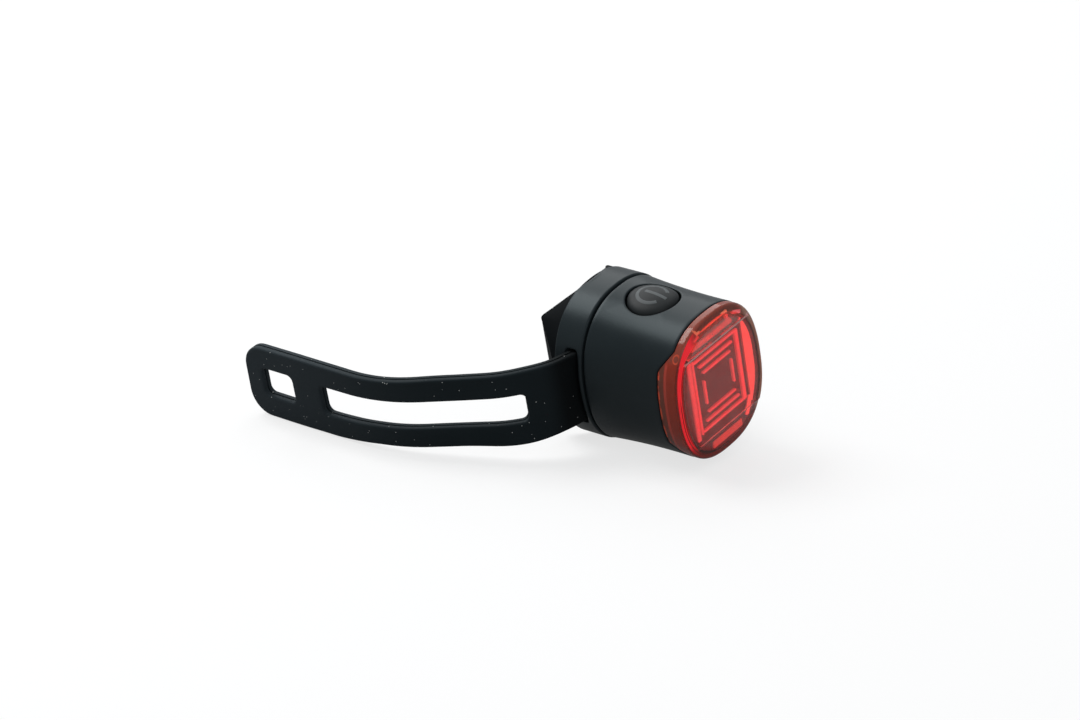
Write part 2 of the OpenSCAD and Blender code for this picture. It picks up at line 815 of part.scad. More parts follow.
// Root of the strap: a bead in the cover and a neck that ends short of the bending line
module strap_anchor() {
    color(rubber_black) at_slot() difference() {
        union() {
            translate([-bead_in, 0, 0]) rod_z(-strap_w / 2, strap_w / 2, bead_d);
            translate([-bead_in, -strap_t / 2, -strap_w / 2]) cube([bead_in + neck_out, strap_t, strap_w]);
        }
        translate([neck_out, 0, 0]) rod_z(-strap_w, strap_w, strap_t + 2 * neck_gap);
    }
}

function inside(s, l) = min(max(s, 0), l);
function turned(p, a) = [p[0] * cos(a) - p[1] * sin(a), p[0] * sin(a) + p[1] * cos(a)];

// End of a right-hand bend of radius r after the length l
function bend_end(r, l) = let (a = l / r * 180 / PI) [r * sin(a), r * cos(a) - r];

// Point of the strap's middle line at the length s from the neck, and how far it has turned there
function path_point(s) =
    let (after = s - bend_l - mid_l - end_bend_l)
        bend_end(bend_r, inside(s, bend_l))
        + turned([inside(s - bend_l, mid_l), 0], -bend_turn)
        + turned(bend_end(end_bend_r, inside(s - bend_l - mid_l, end_bend_l)), -bend_turn)
        + turned([max(after, 0), 0], -bend_turn - end_turn);
function path_turn(s) =
    inside(s, bend_l) / bend_r * 180 / PI + inside(s - bend_l - mid_l, end_bend_l) / end_bend_r * 180 / PI;
function path_side(s, offset) = path_point(s) + turned([0, offset], -path_turn(s));

// Band along the strap's path between the lengths s0 and s1
module band(s0, s1, t, w) {
    steps = ceil((s1 - s0) / path_step);
    stations = [for (k = [0 : steps]) mix(s0, s1, k / steps)];
    outer = [for (s = stations) path_side(s, t / 2)];
    inner = [for (k = [steps : -1 : 0]) path_side(stations[k], -t / 2)];
    translate([0, 0, -w / 2]) linear_extrude(w) polygon(concat(outer, inner));
}

// Free band with its long window, square hole and rounded end
module strap() {
    cut_t = strap_t + 2 * over;
    color(rubber_black) at_slot() translate([neck_out, 0, 0]) difference() {
        union() {
            rod_z(-strap_w / 2, strap_w / 2, strap_t);
            band(0, strap_l, strap_t, strap_w);
        }
        band(window_start, window_start + window_run, cut_t, window_w);
        band(hole_start, hole_start + hole_l, cut_t, hole_w);
        for (flip = [0, 1]) mirror([0, 0, flip]) end_corner();
    }
}

// What rounds one corner of the strap's end
module end_corner() {
    translate(path_point(strap_l)) rotate(-path_turn(strap_l))
        translate([-tip_r, -strap_t, strap_w / 2 - tip_r]) difference() {
            cube([tip_r + over, 2 * strap_t, tip_r + over]);
            rotate([-90, 0, 0]) cylinder(r = tip_r, h = 2 * strap_t);
        }
}

housing();
lens();
lens_seal();
optic();
reflector();
led_board();
leds();
main_board();
tact_switch();
switch_plunger();
button();
usb_socket();
usb_tongue();
port_flap();
battery();
battery_foam();
rear_cover();
cover_seal();
cover_screws();
saddle_pad();
strap_anchor();
strap();
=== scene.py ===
"""Looks of the bicycle rear light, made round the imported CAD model.

Pieces are modelled in millimetres, in the CAD model's frame, and scaled to metres when they are done.
"""

import math

import bmesh
import bpy
from mathutils import Matrix, Vector


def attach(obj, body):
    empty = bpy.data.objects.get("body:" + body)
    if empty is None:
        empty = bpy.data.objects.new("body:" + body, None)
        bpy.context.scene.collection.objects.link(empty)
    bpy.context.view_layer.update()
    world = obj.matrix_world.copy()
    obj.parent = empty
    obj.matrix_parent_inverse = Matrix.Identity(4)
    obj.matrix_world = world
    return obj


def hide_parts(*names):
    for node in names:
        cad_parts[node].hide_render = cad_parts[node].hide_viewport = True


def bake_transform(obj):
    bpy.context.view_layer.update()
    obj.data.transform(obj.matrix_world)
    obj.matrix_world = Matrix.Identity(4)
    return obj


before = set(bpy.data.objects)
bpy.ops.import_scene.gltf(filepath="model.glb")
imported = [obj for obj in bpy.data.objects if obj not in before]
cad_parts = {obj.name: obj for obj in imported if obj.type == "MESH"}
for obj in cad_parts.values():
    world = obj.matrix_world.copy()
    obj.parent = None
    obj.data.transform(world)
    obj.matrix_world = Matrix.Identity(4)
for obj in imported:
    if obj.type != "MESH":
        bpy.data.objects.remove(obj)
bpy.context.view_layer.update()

# Places along Y: saddle rim, seam, front edge and lens, in mm
POST_R = 12.7
RIM_Y, RECESS_Y, FLOOR_Y = -12.3, -14.5, -16.9
SEAM_Y, SEAM_GAP = -19.35, 0.4
FRONT_Y, FACE_Y, CROWN_Y = -40.45, -42.7, -43.2
LENS_IN_Y, SKIRT_END_Y, LED_BOARD_Y = -42.0, -37.05, -36.05
RIB_Y, PLATE_Y, PLATE_BACK_Y = -41.9, -41.2, -40.2
RIB_BACK_Y = PLATE_Y + 0.05

# Body sections: width, height and squareness at the seam and at the front edge
BODY_SECTION, FRONT_SECTION = (30, 34, 2.3), (27.9, 31.6, 2.5)
WAIST, WALL, REBATE_WALL, FIT = 0.3, 1.8, 0.9, 0.1
LENS_SIDE, LENS_ROUND, CROWN_H, CROWN_IN = 1.8, 0.8, 19.8, 0.4
SIDE_LINE_Y = -39.5
WINDOW_L, WINDOW_H, WINDOW_BACK_H = 2.95, 24.6, 17
RIB_SQUARE_W, RIB_SQUARE_H, RIB_W, RIB_STEP = 15.2, 16.6, 0.5, 1.75
RIB_SPACE, POST_LINE_W, RIB_SHORTEN, RIB_SIDE_H = 0.3, 0.3, 0.95, 5.4
PRISM_X, PRISM_H, PRISM_BAR_L, PRISM_BAR_W, PRISM_BAR_Z, PRISM_SPACE = 9, 19.4, 10.4, 1.7, 11.8, 0.55
RIB_ROUND, PRISM_ROUND, PRISM_BULGE = 0.16, 0.3, 0.2
# Small studs at the top of the light guide, with a painted glow: x, z, width, height and turn in degrees
GLOW_STUDS = ((-4.9, 12.7, 1.6, 0.9, -20), (5.3, 12.0, 0.7, 1.3, 0), (8.3, 11.6, 2.6, 0.8, 24))
# Ring mark on the lens's left wall, and where the painted glow on that wall's back edge sets in
BOSS_Y, BOSS_Z, BOSS_R, GLOW_EDGE_Y = -41.5, 11.2, 0.7, -38.25

# Button on top and charging port underneath
BUTTON_Y, BUTTON_R, BUTTON_GAP, BUTTON_DOME = -28.2, 5.35, 0.3, 1.15
SEAT_Z, FLANGE_R, FLANGE_Z, FLANGE_T, STEM_Z, STEM_R = 12.3045, 6.25, 11.2045, 1.0, 9.6045, 1.7
PORT_Y, PORT_IN_Z = -26.7, -12.9096
SOCKET_W, SOCKET_H = 9.44, 3.7
FLAP_W, FLAP_L, FLAP_T, FLAP_GAP, FLAP_N = 13, 8.4, 1.2, 0.25, 7
FLAP_HINGE_Y, FLAP_HINGE_Z, FLAP_ROLL_R, FLAP_ROLL_W = -23.05, -15.966, 0.55, 5
SYMBOL_R, SYMBOL_HALF_W, SYMBOL_OPEN, SYMBOL_PROUD = 3.05, 0.4, math.radians(36), 0.12
SYMBOL_BAR_L, SYMBOL_BAR_OFF = 5.2, 0.9

# Strap: route of its middle line from the neck, and its window and hole
NECK, STRAP_HEADING = (-16.4419, -15.7365), math.radians(164)
STRAP_RUNS = ((16.4934, math.radians(-45)), (13.5, 0), (16.197, math.radians(-29)), (40, 0))
STRAP_W, STRAP_T, STRAP_ROOT, STRAP_END, TIP_R = 16, 2.4, -5, 75.5, 5
WINDOW_SPAN, WINDOW_WIDE, HOLE_SPAN, HOLE_WIDE, HOLE_CORNER = (8.8, 54.7), 6.4, (62.5, 71.1), 6.4, 1.3
TIP_SKEW, TIP_SKEW_RUN = 0.04, 20
STRAP_ROUND, ROOT_CORNER = 0.45, 0.8
# Parting groove round the band's edges: cuts through its thickness, and its depth
PARTING_CUTS, PARTING_HALF, PARTING_DEPTH = (-0.18, -0.06, 0.06, 0.18), 0.1, 0.4
# Soft unevenness of the band: at each length, how far its lower edge, window edges and upper edge lie off, in mm
STRAP_EASE = ((-5, (0, 0, 0, 0)), (1, (-0.1, 0, 0, 0.2)), (9, (-0.4, 0.05, 0.15, 0.6)), (24, (0.3, 0.13, 0, 0.4)),
              (39, (0.42, 0.1, -0.03, 0.05)), (53, (-0.6, -0.5, -0.15, 0.15)), (62, (-0.7, -0.3, 0, 0.2)),
              (76, (-0.6, -0.2, 0, 0.2)))

# Rear cover with the strap's slot and hook, and the saddle pad
SLOT_Y, SLOT_LEAN, SLOT_NEAR_Y, SLOT_FAR_Y, SLOT_OPEN_Z = -16.55, math.tan(math.radians(16)), -18.6, -14.1, 9.1
BAND_PROUD, RECESS_WALL = 0.2, 1.5
HOOK_PLACE, HOOK_SIZE, HOOK_OUT, HOOK_LIP = (15.75, -14.2, 0), (4.5, 2.2, 5.8), 2.2, 5.2
PAD_INSET, PAD_ROUND, PLUG_INSET, PAD_FIT = 0.1, 0.36, 1.6, 0.02
EAR_Y, EAR_X, EAR_RUN, SADDLE_X = -7.25, 11.0, 3.9, 12.3
GROOVE_STEP, GROOVE_DEPTH, GROOVE_HALF_X, GROOVE_HALF_Z = 2.6, 0.28, 9.4, 13

# Stage: camera as solved from the photograph, lean of the floor, and how much of the white surroundings is mirrored
CAMERA_PLACE, CAMERA_TURN = (-0.46788, -0.44402, 0.37828), (-46.127, 30.731, -10.183)
LENS_LENGTH, SENSOR_W = 120, 36
LEAN, FLOOR_PLACE, FLOOR_SIZE = math.atan(0.2348), (-0.0408, 0, -0.0087), 6
FLOOR_TONE, FLOOR_GLOW, MIRRORED, SKY_STRENGTH = 0.28, 0.725, 0.25, 0.3

COLUMNS = 192


def mix(a, b, share):
    return a + (b - a) * share


def clamp(value, low=0.0, high=1.0):
    return min(max(value, low), high)


def smooth_min(a, b, soft):
    share = clamp(0.5 + 0.5 * (b - a) / soft)
    return mix(b, a, share) - soft * share * (1 - share)


def outline(angle, width, height, squareness):
    """Point of a superellipse in the direction of angle."""
    c, s = math.cos(angle), math.sin(angle)
    reach = (abs(2 * c / width) ** squareness + abs(2 * s / height) ** squareness) ** (-1 / squareness)
    return reach * c, reach * s


def body_section(y, inset=0.0):
    """Width, height and squareness of the body at y, drawn in by inset."""
    share = clamp((SEAM_Y - y) / (SEAM_Y - FRONT_Y))
    draw = WAIST * 4 * share * (1 - share) + inset
    width, height, squareness = (mix(a, b, share) for a, b in zip(BODY_SECTION, FRONT_SECTION))
    return width - 2 * draw, height - 2 * draw, squareness


def body_point(angle, y, inset=0.0):
    x, z = outline(angle, *body_section(y, inset))
    return Vector((x, y, z))


def body_top(x, y, inset=0.0):
    """Height of the body's upper surface over a point."""
    width, height, squareness = body_section(y, inset)
    return height / 2 * (1 - clamp(abs(2 * x / width)) ** squareness) ** (1 / squareness)


def body_side(y, z, inset=0.0):
    """Reach of the body's side at a point of the side view."""
    width, height, squareness = body_section(y, inset)
    return width / 2 * (1 - clamp(abs(2 * z / height)) ** squareness) ** (1 / squareness)


def front_edge(angle):
    """Front edge of the housing, set back where a side window of the lens reaches into it."""
    z = abs(body_point(angle, FRONT_Y).z)
    share = (WINDOW_H / 2 - z) / ((WINDOW_H - WINDOW_BACK_H) / 2)
    return FRONT_Y + WINDOW_L * clamp(smooth_min(share, 1, 0.15))


def strap_ease(s, z):
    """How far a point of the band lies off its straight form, across the band."""
    for (start, first), (stop, last) in zip(STRAP_EASE, STRAP_EASE[1:]):
        if s <= stop:
            break
    share = clamp((s - start) / (stop - start))
    low, window_low, window_top, top = (mix(a, b, share * share * (3 - 2 * share)) for a, b in zip(first, last))
    edge, opening = STRAP_W / 2, WINDOW_WIDE / 2
    if z < -opening:
        return mix(low, window_low, clamp((z + edge) / (edge - opening)))
    if z > opening:
        return mix(top, window_top, clamp((edge - z) / (edge - opening)))
    return mix(window_low, window_top, (z + opening) / (2 * opening))


def strap_route(s):
    """Point and heading of the strap's middle line at the length s from its neck."""
    point, heading = Vector(NECK), STRAP_HEADING
    if s < 0:
        return point + s * Vector((math.cos(heading), math.sin(heading))), heading
    for length, turn in STRAP_RUNS:
        run = min(s, length)
        bend = turn * run / length
        chord = run * (math.sin(bend / 2) / (bend / 2) if bend else 1)
        point = point + chord * Vector((math.cos(heading + bend / 2), math.sin(heading + bend / 2)))
        heading, s = heading + bend, s - run
    return point, heading


# Modelling moves
def object_mode():
    if bpy.context.object and bpy.context.object.mode != "OBJECT":
        bpy.ops.object.mode_set(mode="OBJECT")
    bpy.ops.object.select_all(action="DESELECT")


def take(obj, mode="EDIT"):
    """Make obj the only one picked, in the given mode."""
    object_mode()
    obj.select_set(True)
    bpy.context.view_layer.objects.active = obj
    bpy.ops.object.mode_set(mode=mode)


def named(name):
    obj = bpy.context.object
    obj.name = obj.data.name = name
    bpy.ops.object.transform_apply(location=True, rotation=True, scale=True)
    return obj


def pick(kind, test):
    """In edit mode, pick the verts, edges or faces that pass the test, and nothing else."""
    bpy.ops.mesh.select_mode(type={"verts": "VERT", "edges": "EDGE", "faces": "FACE"}[kind])
    bpy.ops.mesh.select_all(action="DESELECT")
    mesh = bpy.context.object.data
    shape = bmesh.from_edit_mesh(mesh)
    for part in getattr(shape, kind):
        if test(part):
            part.select_set(True)
    bmesh.update_edit_mesh(mesh)


def move_picked(place):
    mesh = bpy.context.object.data
    shape = bmesh.from_edit_mesh(mesh)
    for vert in shape.verts:
        if vert.select:
            vert.co = place(vert.co)
    bmesh.update_edit_mesh(mesh)


def extrude_to(*places):
    """Extrude the picked edges once for each place, and move the new loop there."""
    for place in places:
        bpy.ops.mesh.extrude_region_move()
        move_picked(place)


def close_mesh(distance=0.002):
    bpy.ops.mesh.select_mode(type="VERT")
    bpy.ops.mesh.select_all(action="SELECT")
    bpy.ops.mesh.remove_doubles(threshold=distance)
    bpy.ops.mesh.normals_make_consistent(inside=False)


def sleeve(name, rows, place, columns=COLUMNS):
    """Ring of edges, extruded into rows, each vertex then moved to its place by angle and row."""
    object_mode()
    bpy.ops.mesh.primitive_circle_add(vertices=columns, radius=1, rotation=(math.pi / 2, 0, 0))
    obj = named(name)
    take(obj)
    bpy.ops.mesh.select_mode(type="VERT")
    bpy.ops.mesh.select_all(action="SELECT")
    for _ in range(rows - 1):
        bpy.ops.mesh.extrude_region_move(TRANSFORM_OT_translate={"value": (0, 1, 0)})
    bpy.ops.mesh.select_all(action="SELECT")
    move_picked(lambda co: place(math.atan2(co.z, co.x), round(co.y)))
    close_mesh()
    return obj


def finish_piece(obj, body, look, nodes=(), angle=35):
    """Scale to metres, smooth, colour and hang the piece on its body."""
    take(obj, "OBJECT")
    obj.data.transform(Matrix.Scale(0.001, 4))
    bpy.ops.object.shade_smooth_by_angle(angle=math.radians(angle))
    obj.data.materials.clear()
    obj.data.materials.append(look)
    if body:
        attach(obj, body)
    if nodes:
        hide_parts(*nodes)
    return obj


def add_modifier(obj, kind, **settings):
    take(obj, "OBJECT")
    modifier = obj.modifiers.new(kind.title(), kind)
    for name, value in settings.items():
        setattr(modifier, name, value)
    bpy.ops.object.modifier_apply(modifier=modifier.name)


# Shader expressions
class Wire:
    """A shader socket that takes part in Python expressions; each step adds its node."""

    def __init__(self, tree, socket=None):
        self.tree, self.socket = tree, socket

    def node(self, kind, settings=None, sockets=None, out=0):
        made = self.tree.nodes.new("ShaderNode" + kind)
        for name, value in (settings or {}).items():
            setattr(made, name, value)
        for name, value in (sockets or {}).items():
            if isinstance(value, Wire):
                self.tree.links.new(value.socket, made.inputs[name])
            else:
                made.inputs[name].default_value = value
        return Wire(self.tree, made.outputs[out] if out is not None else None)

    def math(self, operation, *values, limit=False):
        return self.node("Math", {"operation": operation, "use_clamp": limit}, dict(enumerate(values)))

    def __add__(self, other):
        return self.math("ADD", self, other)

    __radd__ = __add__

    def __sub__(self, other):
        return self.math("SUBTRACT", self, other)

    def __rsub__(self, other):
        return self.math("SUBTRACT", other, self)

    def __mul__(self, other):
        return self.math("MULTIPLY", self, other)

    __rmul__ = __mul__

    def __pow__(self, other):
        return self.math("POWER", self, other)

    def __abs__(self):
        return self.math("ABSOLUTE", self)

    def __lt__(self, other):
        return self.math("LESS_THAN", self, other)

    def __gt__(self, other):
        return self.math("GREATER_THAN", self, other)

    def most(self, other, limit=False):
        """The larger of this value and another."""
        return self.math("MAXIMUM", self, other, limit=limit)

    def axis(self, name):
        """One coordinate of a place, in millimetres."""
        return self.node("SeparateXYZ", {}, {"Vector": self}, out=name) * 1000

    def ramp(self, low, high):
        """0 below low, 1 above high."""
        return self.node("MapRange", {"interpolation_type": "SMOOTHSTEP"},
                         {"Value": self, "From Min": low, "From Max": high})

    def blend(self, first, second):
        """Colour between first and second, by this value."""
        return self.node("Mix", {"data_type": "RGBA"}, {0: self, 6: first, 7: second}, out=2)

    def noise(self, size, detail=2.0):
        """Noise with lumps of about size millimetres, from object coordinates."""
        return self.node("TexNoise", {}, {"Vector": self, "Scale": 1000 / size, "Detail": detail})

    def bump(self, height, distance, strength=1.0):
        return self.node("Bump", {}, {"Height": height, "Distance": distance * 0.001, "Strength": strength})


def colour(red, green=None, blue=None):
    return (red, red if green is None else green, red if blue is None else blue, 1)


def finish(name, paint, **fixed):
    """Principled material; paint gives what varies over the surface, fixed what is the same all over."""
    made = bpy.data.materials.new(name)
    made.use_nodes = True
    made.node_tree.nodes.clear()
    start = Wire(made.node_tree)
    place = start.node("TexCoord", out="Object")
    sockets = {key.replace("_", " "): value for key, value in fixed.items()}
    sockets.update(paint(place))
    shader = start.node("BsdfPrincipled", {}, sockets)
    start.node("OutputMaterial", {}, {"Surface": shader}, out=None)
    return made


def satin_plastic(place):
    """Fine moulded grain with faint handling marks."""
    grain, marks = place.noise(0.16, 3), place.noise(9, 3)
    return {
        "Base Color": marks.ramp(0.35, 0.7).blend(colour(0.0122, 0.0172, 0.0197), colour(0.0145, 0.02, 0.0226)),
        "Roughness": 0.27 + marks * 0.08 + grain * 0.06,
        "Normal": place.bump(grain, 0.012, 0.5),
    }


# Strap's painted light, paler along Y towards the tip, which faces the light, and its painted shade, almost black at
# the root in the slot; sizes and share of the dust
PAINTED_TIP_LIGHT, PAINTED_TIP_LIGHT_SPAN, PAINTED_TIP_LIGHT_SHARE = colour(0.037, 0.046, 0.053), (-5, 48), 0.7
PAINTED_ROOT_SHADE, PAINTED_ROOT_SHADE_SPAN = colour(0.0008, 0.001, 0.0012), (-22, -17.5)
DUST, DUST_LEAST, DUST_SPREAD, DUST_LOT = colour(0.62, 0.62, 0.6), 0.03, 0.09, 0.55


def silicone(dark, light, specks, root=None):
    """Matt silicone with a dusty bloom and white specks of dust; given a root span, a painted shade darkens it at its
    root and painted light makes it paler at its far end.
    """
    def paint(place):
        bloom, grain = place.noise(7, 4), place.noise(0.22, 3)
        cells = place.node("TexVoronoi", {}, {"Vector": place, "Scale": 1000 / specks}, out="Distance")
        chosen = place.node("TexVoronoi", {}, {"Vector": place, "Scale": 1000 / specks}, out="Color")
        lot = place.node("SeparateColor", {}, {"Color": chosen}, out="Red")
        dust = (cells * specks < DUST_LEAST + lot * DUST_SPREAD) * (lot > DUST_LOT)
        body = bloom.ramp(0.3, 0.75).blend(dark, light)
        if root:
            # Painted light: paler along Y towards the tip. Painted shade: almost black at the root, in the slot
            body = (place.axis("Y").ramp(*PAINTED_TIP_LIGHT_SPAN) * PAINTED_TIP_LIGHT_SHARE).blend(body, PAINTED_TIP_LIGHT)
            body = place.axis("X").ramp(*root).blend(body, PAINTED_ROOT_SHADE)
        return {
            "Base Color": dust.blend(body, DUST),
            "Roughness": 0.58 + bloom * 0.16 + dust * 0.1,
            "Normal": place.bump(grain, 0.02, 0.5),
        }
    return paint


def even(base, rough, grain_size=0.3, spread=0.12, depth=0.01):
    """Plain moulded or printed surface with a little mottling."""
    def paint(place):
        grain, mottle = place.noise(grain_size, 2), place.noise(3, 3)
        shade = tuple(c * (1 - spread) for c in base[:3]) + (1,)
        tint = tuple(min(c * (1 + spread), 1) for c in base[:3]) + (1,)
        return {
            "Base Color": mottle.ramp(0.3, 0.7).blend(shade, tint),
            "Roughness": rough + grain * 0.08,
            "Normal": place.bump(grain, depth, 0.4),
        }
    return paint


def guide(front, back, lit, deep):
    """Light guide with a painted glow: emission for piped light, paler on the front faces and deeper red down the
    walls.
    """
    def paint(place):
        depth = place.axis("Y").ramp(front, back)
        return {
            "Base Color": place.noise(2, 3).ramp(0.3, 0.7).blend(colour(0.8, 0.3, 0.3), colour(0.95, 0.4, 0.4)),
            "Roughness": 0.3 + place.noise(0.4, 2) * 0.1,
            # Painted glow: emission colour from the front faces to the walls
            "Emission Color": depth.blend(lit, deep),
        }
    return paint


LENS_SHEEN = colour(1, 0.97, 0.92)


def clouded_lens():
    """Clear red plastic, cloudy brown in its thick rim, with a painted glow of light piped into the rim on the left;
    painted glow lines, a painted highlight on the ridges and a painted reflection haze on the front are laid over it
    too.
    """
    made = bpy.data.materials.new("clear_red_lens")
    made.use_nodes = True
    made.node_tree.nodes.clear()
    start = Wire(made.node_tree)
    place = start.node("TexCoord", out="Object")
    x, y, z = (place.axis(name) for name in "XYZ")
    width, height, squareness = FRONT_SECTION
    reach = (abs(x * (2 / width)) ** squareness + abs(z * (2 / height)) ** squareness) ** (1 / squareness)
    front = y.ramp(FACE_Y + 0.35, FACE_Y + 0.15)
    rim = reach.ramp(0.86, 0.95)
    wall = y.ramp(FACE_Y + 0.4, FACE_Y + 0.8) * reach.ramp(0.9, 0.95)
    top = z.ramp(CROWN_H / 2 + 0.1, CROWN_H / 2 + 1.2)
    cloud = place.noise(2.5, 3)

    # Painted glow: arc of piped light on the left, with a dark line in its lower half
    ring = reach + (z - 10).most(0) * 0.032
    dark_line = abs(ring - 0.942).ramp(0.009, 0.004) * z.ramp(4, 0)
    arc = x.ramp(-4.5, -8.0) * ring.ramp(0.918, 0.93) * front * z.ramp(-13, -8) * (1 - 0.7 * dark_line)
    # Back part of the side walls and the line before it (a painted glow line), the right rim, the ridges (a painted
    # highlight), and marks on the left wall (a painted glow on its back edge, and a ring mark)
    rear = wall * y.ramp(SIDE_LINE_Y + 0.1, SIDE_LINE_Y + 0.5)
    line = wall * abs(y - SIDE_LINE_Y).ramp(0.45, 0.15) * abs(z).ramp(10.5, 9.5)
    right = x.ramp(8.5, 10.5) * reach.ramp(0.84, 0.9) * y.ramp(FACE_Y + 1.0, FACE_Y + 0.5)
    ridge = abs(z - CROWN_H / 2).ramp(0.3, 0.12) * front
    left = x.ramp(-9, -10) * wall
    back_edge_glow = left * y.ramp(GLOW_EDGE_Y, GLOW_EDGE_Y + 0.25) * place.noise(1.6, 2).ramp(0.4, 0.55)
    off_y, off_z = y - BOSS_Y, z - BOSS_Z
    boss = left * abs(start.math("SQRT", off_y * off_y + off_z * off_z) - BOSS_R).ramp(0.2, 0.1)

    clear = start.node("BsdfPrincipled", {}, {
        "Base Color": cloud.blend(colour(0.92, 0.075, 0.065), colour(0.95, 0.095, 0.085)), "Roughness": cloud * 0.04,
        "Transmission Weight": 1.0, "IOR": 1.5, "Specular Tint": LENS_SHEEN})
    paint = cloud.blend(colour(0.33, 0.034, 0.015), colour(0.42, 0.042, 0.018))
    # Tones over the body: dark back walls, the painted glow line, the top wall and a painted glow on its facet, a pale
    # painted reflection haze on the flat front, the right rim, the ridges' painted highlight, and the left wall's
    # painted back-edge glow with the ring mark
    for mask, tone in ((rear, colour(0.2, 0.05, 0.03)), (line, colour(0.6, 0.07, 0.045)),
                       (top, colour(0.36, 0.075, 0.045)), (top * reach.ramp(0.93, 0.88), colour(0.9, 0.18, 0.1)),
                       (front * reach.ramp(0.86, 0.8), colour(0.75, 0.72, 0.64)), (right, colour(0.72, 0.35, 0.25)),
                       (ridge, colour(1.0, 0.52, 0.48)), (back_edge_glow.most(boss), colour(0.85, 0.11, 0.05))):
        paint = mask.blend(paint, tone)
    # Opaque body with the painted tones; the arc's painted glow is also its emission
    body = start.node("BsdfPrincipled", {}, {
        "Base Color": arc.blend(paint, colour(0.8, 0.03, 0.04)), "Roughness": 0.1 + cloud * 0.08,
        "Emission Color": arc.blend(colour(0), colour(1, 0.012, 0.025)), "Emission Strength": 0.5,
        "Specular IOR Level": 0.25, "Specular Tint": LENS_SHEEN})
    side = wall * (1 - top * 0.5)
    # The body shader takes over at the arc's painted glow, the right rim and the ridges' painted highlight
    marks = (arc * 0.9).most(right * 0.7).most(ridge * 0.75)
    share = (rim * 0.45).most(side * 0.78) + top * 0.15 + cloud * 0.2
    share = share.most(marks, limit=True)
    both = start.node("MixShader", {}, {0: share, 1: clear, 2: body})
    start.node("OutputMaterial", {}, {"Surface": both}, out=None)
    return made


SHELL = finish("satin_black_plastic", satin_plastic, Specular_IOR_Level=0.2, Specular_Tint=colour(0.84, 1.0, 1.04))
STRAP = finish("dusty_black_silicone",
               silicone(colour(0.0082, 0.0124, 0.0146), colour(0.0105, 0.0154, 0.018), 1.3, PAINTED_ROOT_SHADE_SPAN),
               Specular_IOR_Level=0.15, Specular_Tint=colour(0.84, 1.0, 1.06))
PAD = finish("black_silicone_pad", silicone(colour(0.004, 0.0055, 0.0065), colour(0.0055, 0.007, 0.008), 2.2),
             Specular_IOR_Level=0.07)
BUTTON = finish("button_rubber", even(colour(0.011, 0.0135, 0.0145), 0.45, 0.2, 0.1, 0.015), Specular_IOR_Level=0.22)
SYMBOL = finish("grey_symbol", even(colour(0.085, 0.095, 0.098), 0.5, 0.15), Specular_IOR_Level=0.3)
SEAL = finish("black_seal", even(colour(0.012), 0.6))
LENS = clouded_lens()
# Ribs and prisms: the guide finishes carry a painted glow, emission standing in for light piped through them
RIBS = finish("bright_rib", guide(RIB_Y + 0.1, RIB_Y + 0.4, colour(0.95, 0.55, 0.75), colour(0.45, 0.13, 0.15)),
              Emission_Strength=0.79)
PLATE = finish("dark_red_plate", even(colour(0.2, 0.07, 0.05), 0.4))
PRISM = finish("red_prism", guide(RIB_Y + 0.22, RIB_Y + 0.32, colour(1, 0.75, 0.75), colour(0.08, 0.03, 0.03)),
               Emission_Strength=1.0)
LOW_PRISM = finish("low_prism", guide(RIB_Y + 0.22, RIB_Y + 0.32, colour(0.6, 0.45, 0.4), colour(0.08, 0.03, 0.03)),
                   Emission_Strength=0.72)
DIM_PRISM = finish("dim_prism", guide(RIB_Y + 0.1, RIB_Y + 0.5, colour(0.85, 0.3, 0.3), colour(0.4, 0.1, 0.1)),
                   Emission_Strength=0.8)
DULL_PRISM = finish("dull_prism", even(colour(0.2, 0.055, 0.045), 0.3))
AMBER_PRISM = finish("amber_prism", guide(RIB_Y + 0.1, RIB_Y + 0.4, colour(1, 0.6, 0.35), colour(1, 0.8, 0.4)),
                     Emission_Strength=1.3)
TRAY = finish("brown_tray", even(colour(0.3, 0.2, 0.18), 0.5))
BOARD = finish("green_board", even(colour(0.03, 0.16, 0.08), 0.45))
LED = finish("led_resin", even(colour(0.85, 0.8, 0.5), 0.25))
SWITCH = finish("black_switch", even(colour(0.03), 0.5))
PLUNGER = finish("white_plunger", even(colour(0.65, 0.65, 0.6), 0.45))
STEEL = finish("plated_steel", even(colour(0.7, 0.7, 0.71), 0.26, 0.4, 0.06), Metallic=1.0)
CELL = finish("foil_cell", even(colour(0.62, 0.64, 0.66), 0.32, 0.8, 0.08, 0.03), Metallic=1.0)
FOAM = finish("grey_foam", even(colour(0.07, 0.07, 0.075), 0.9, 0.5, 0.2, 0.15))


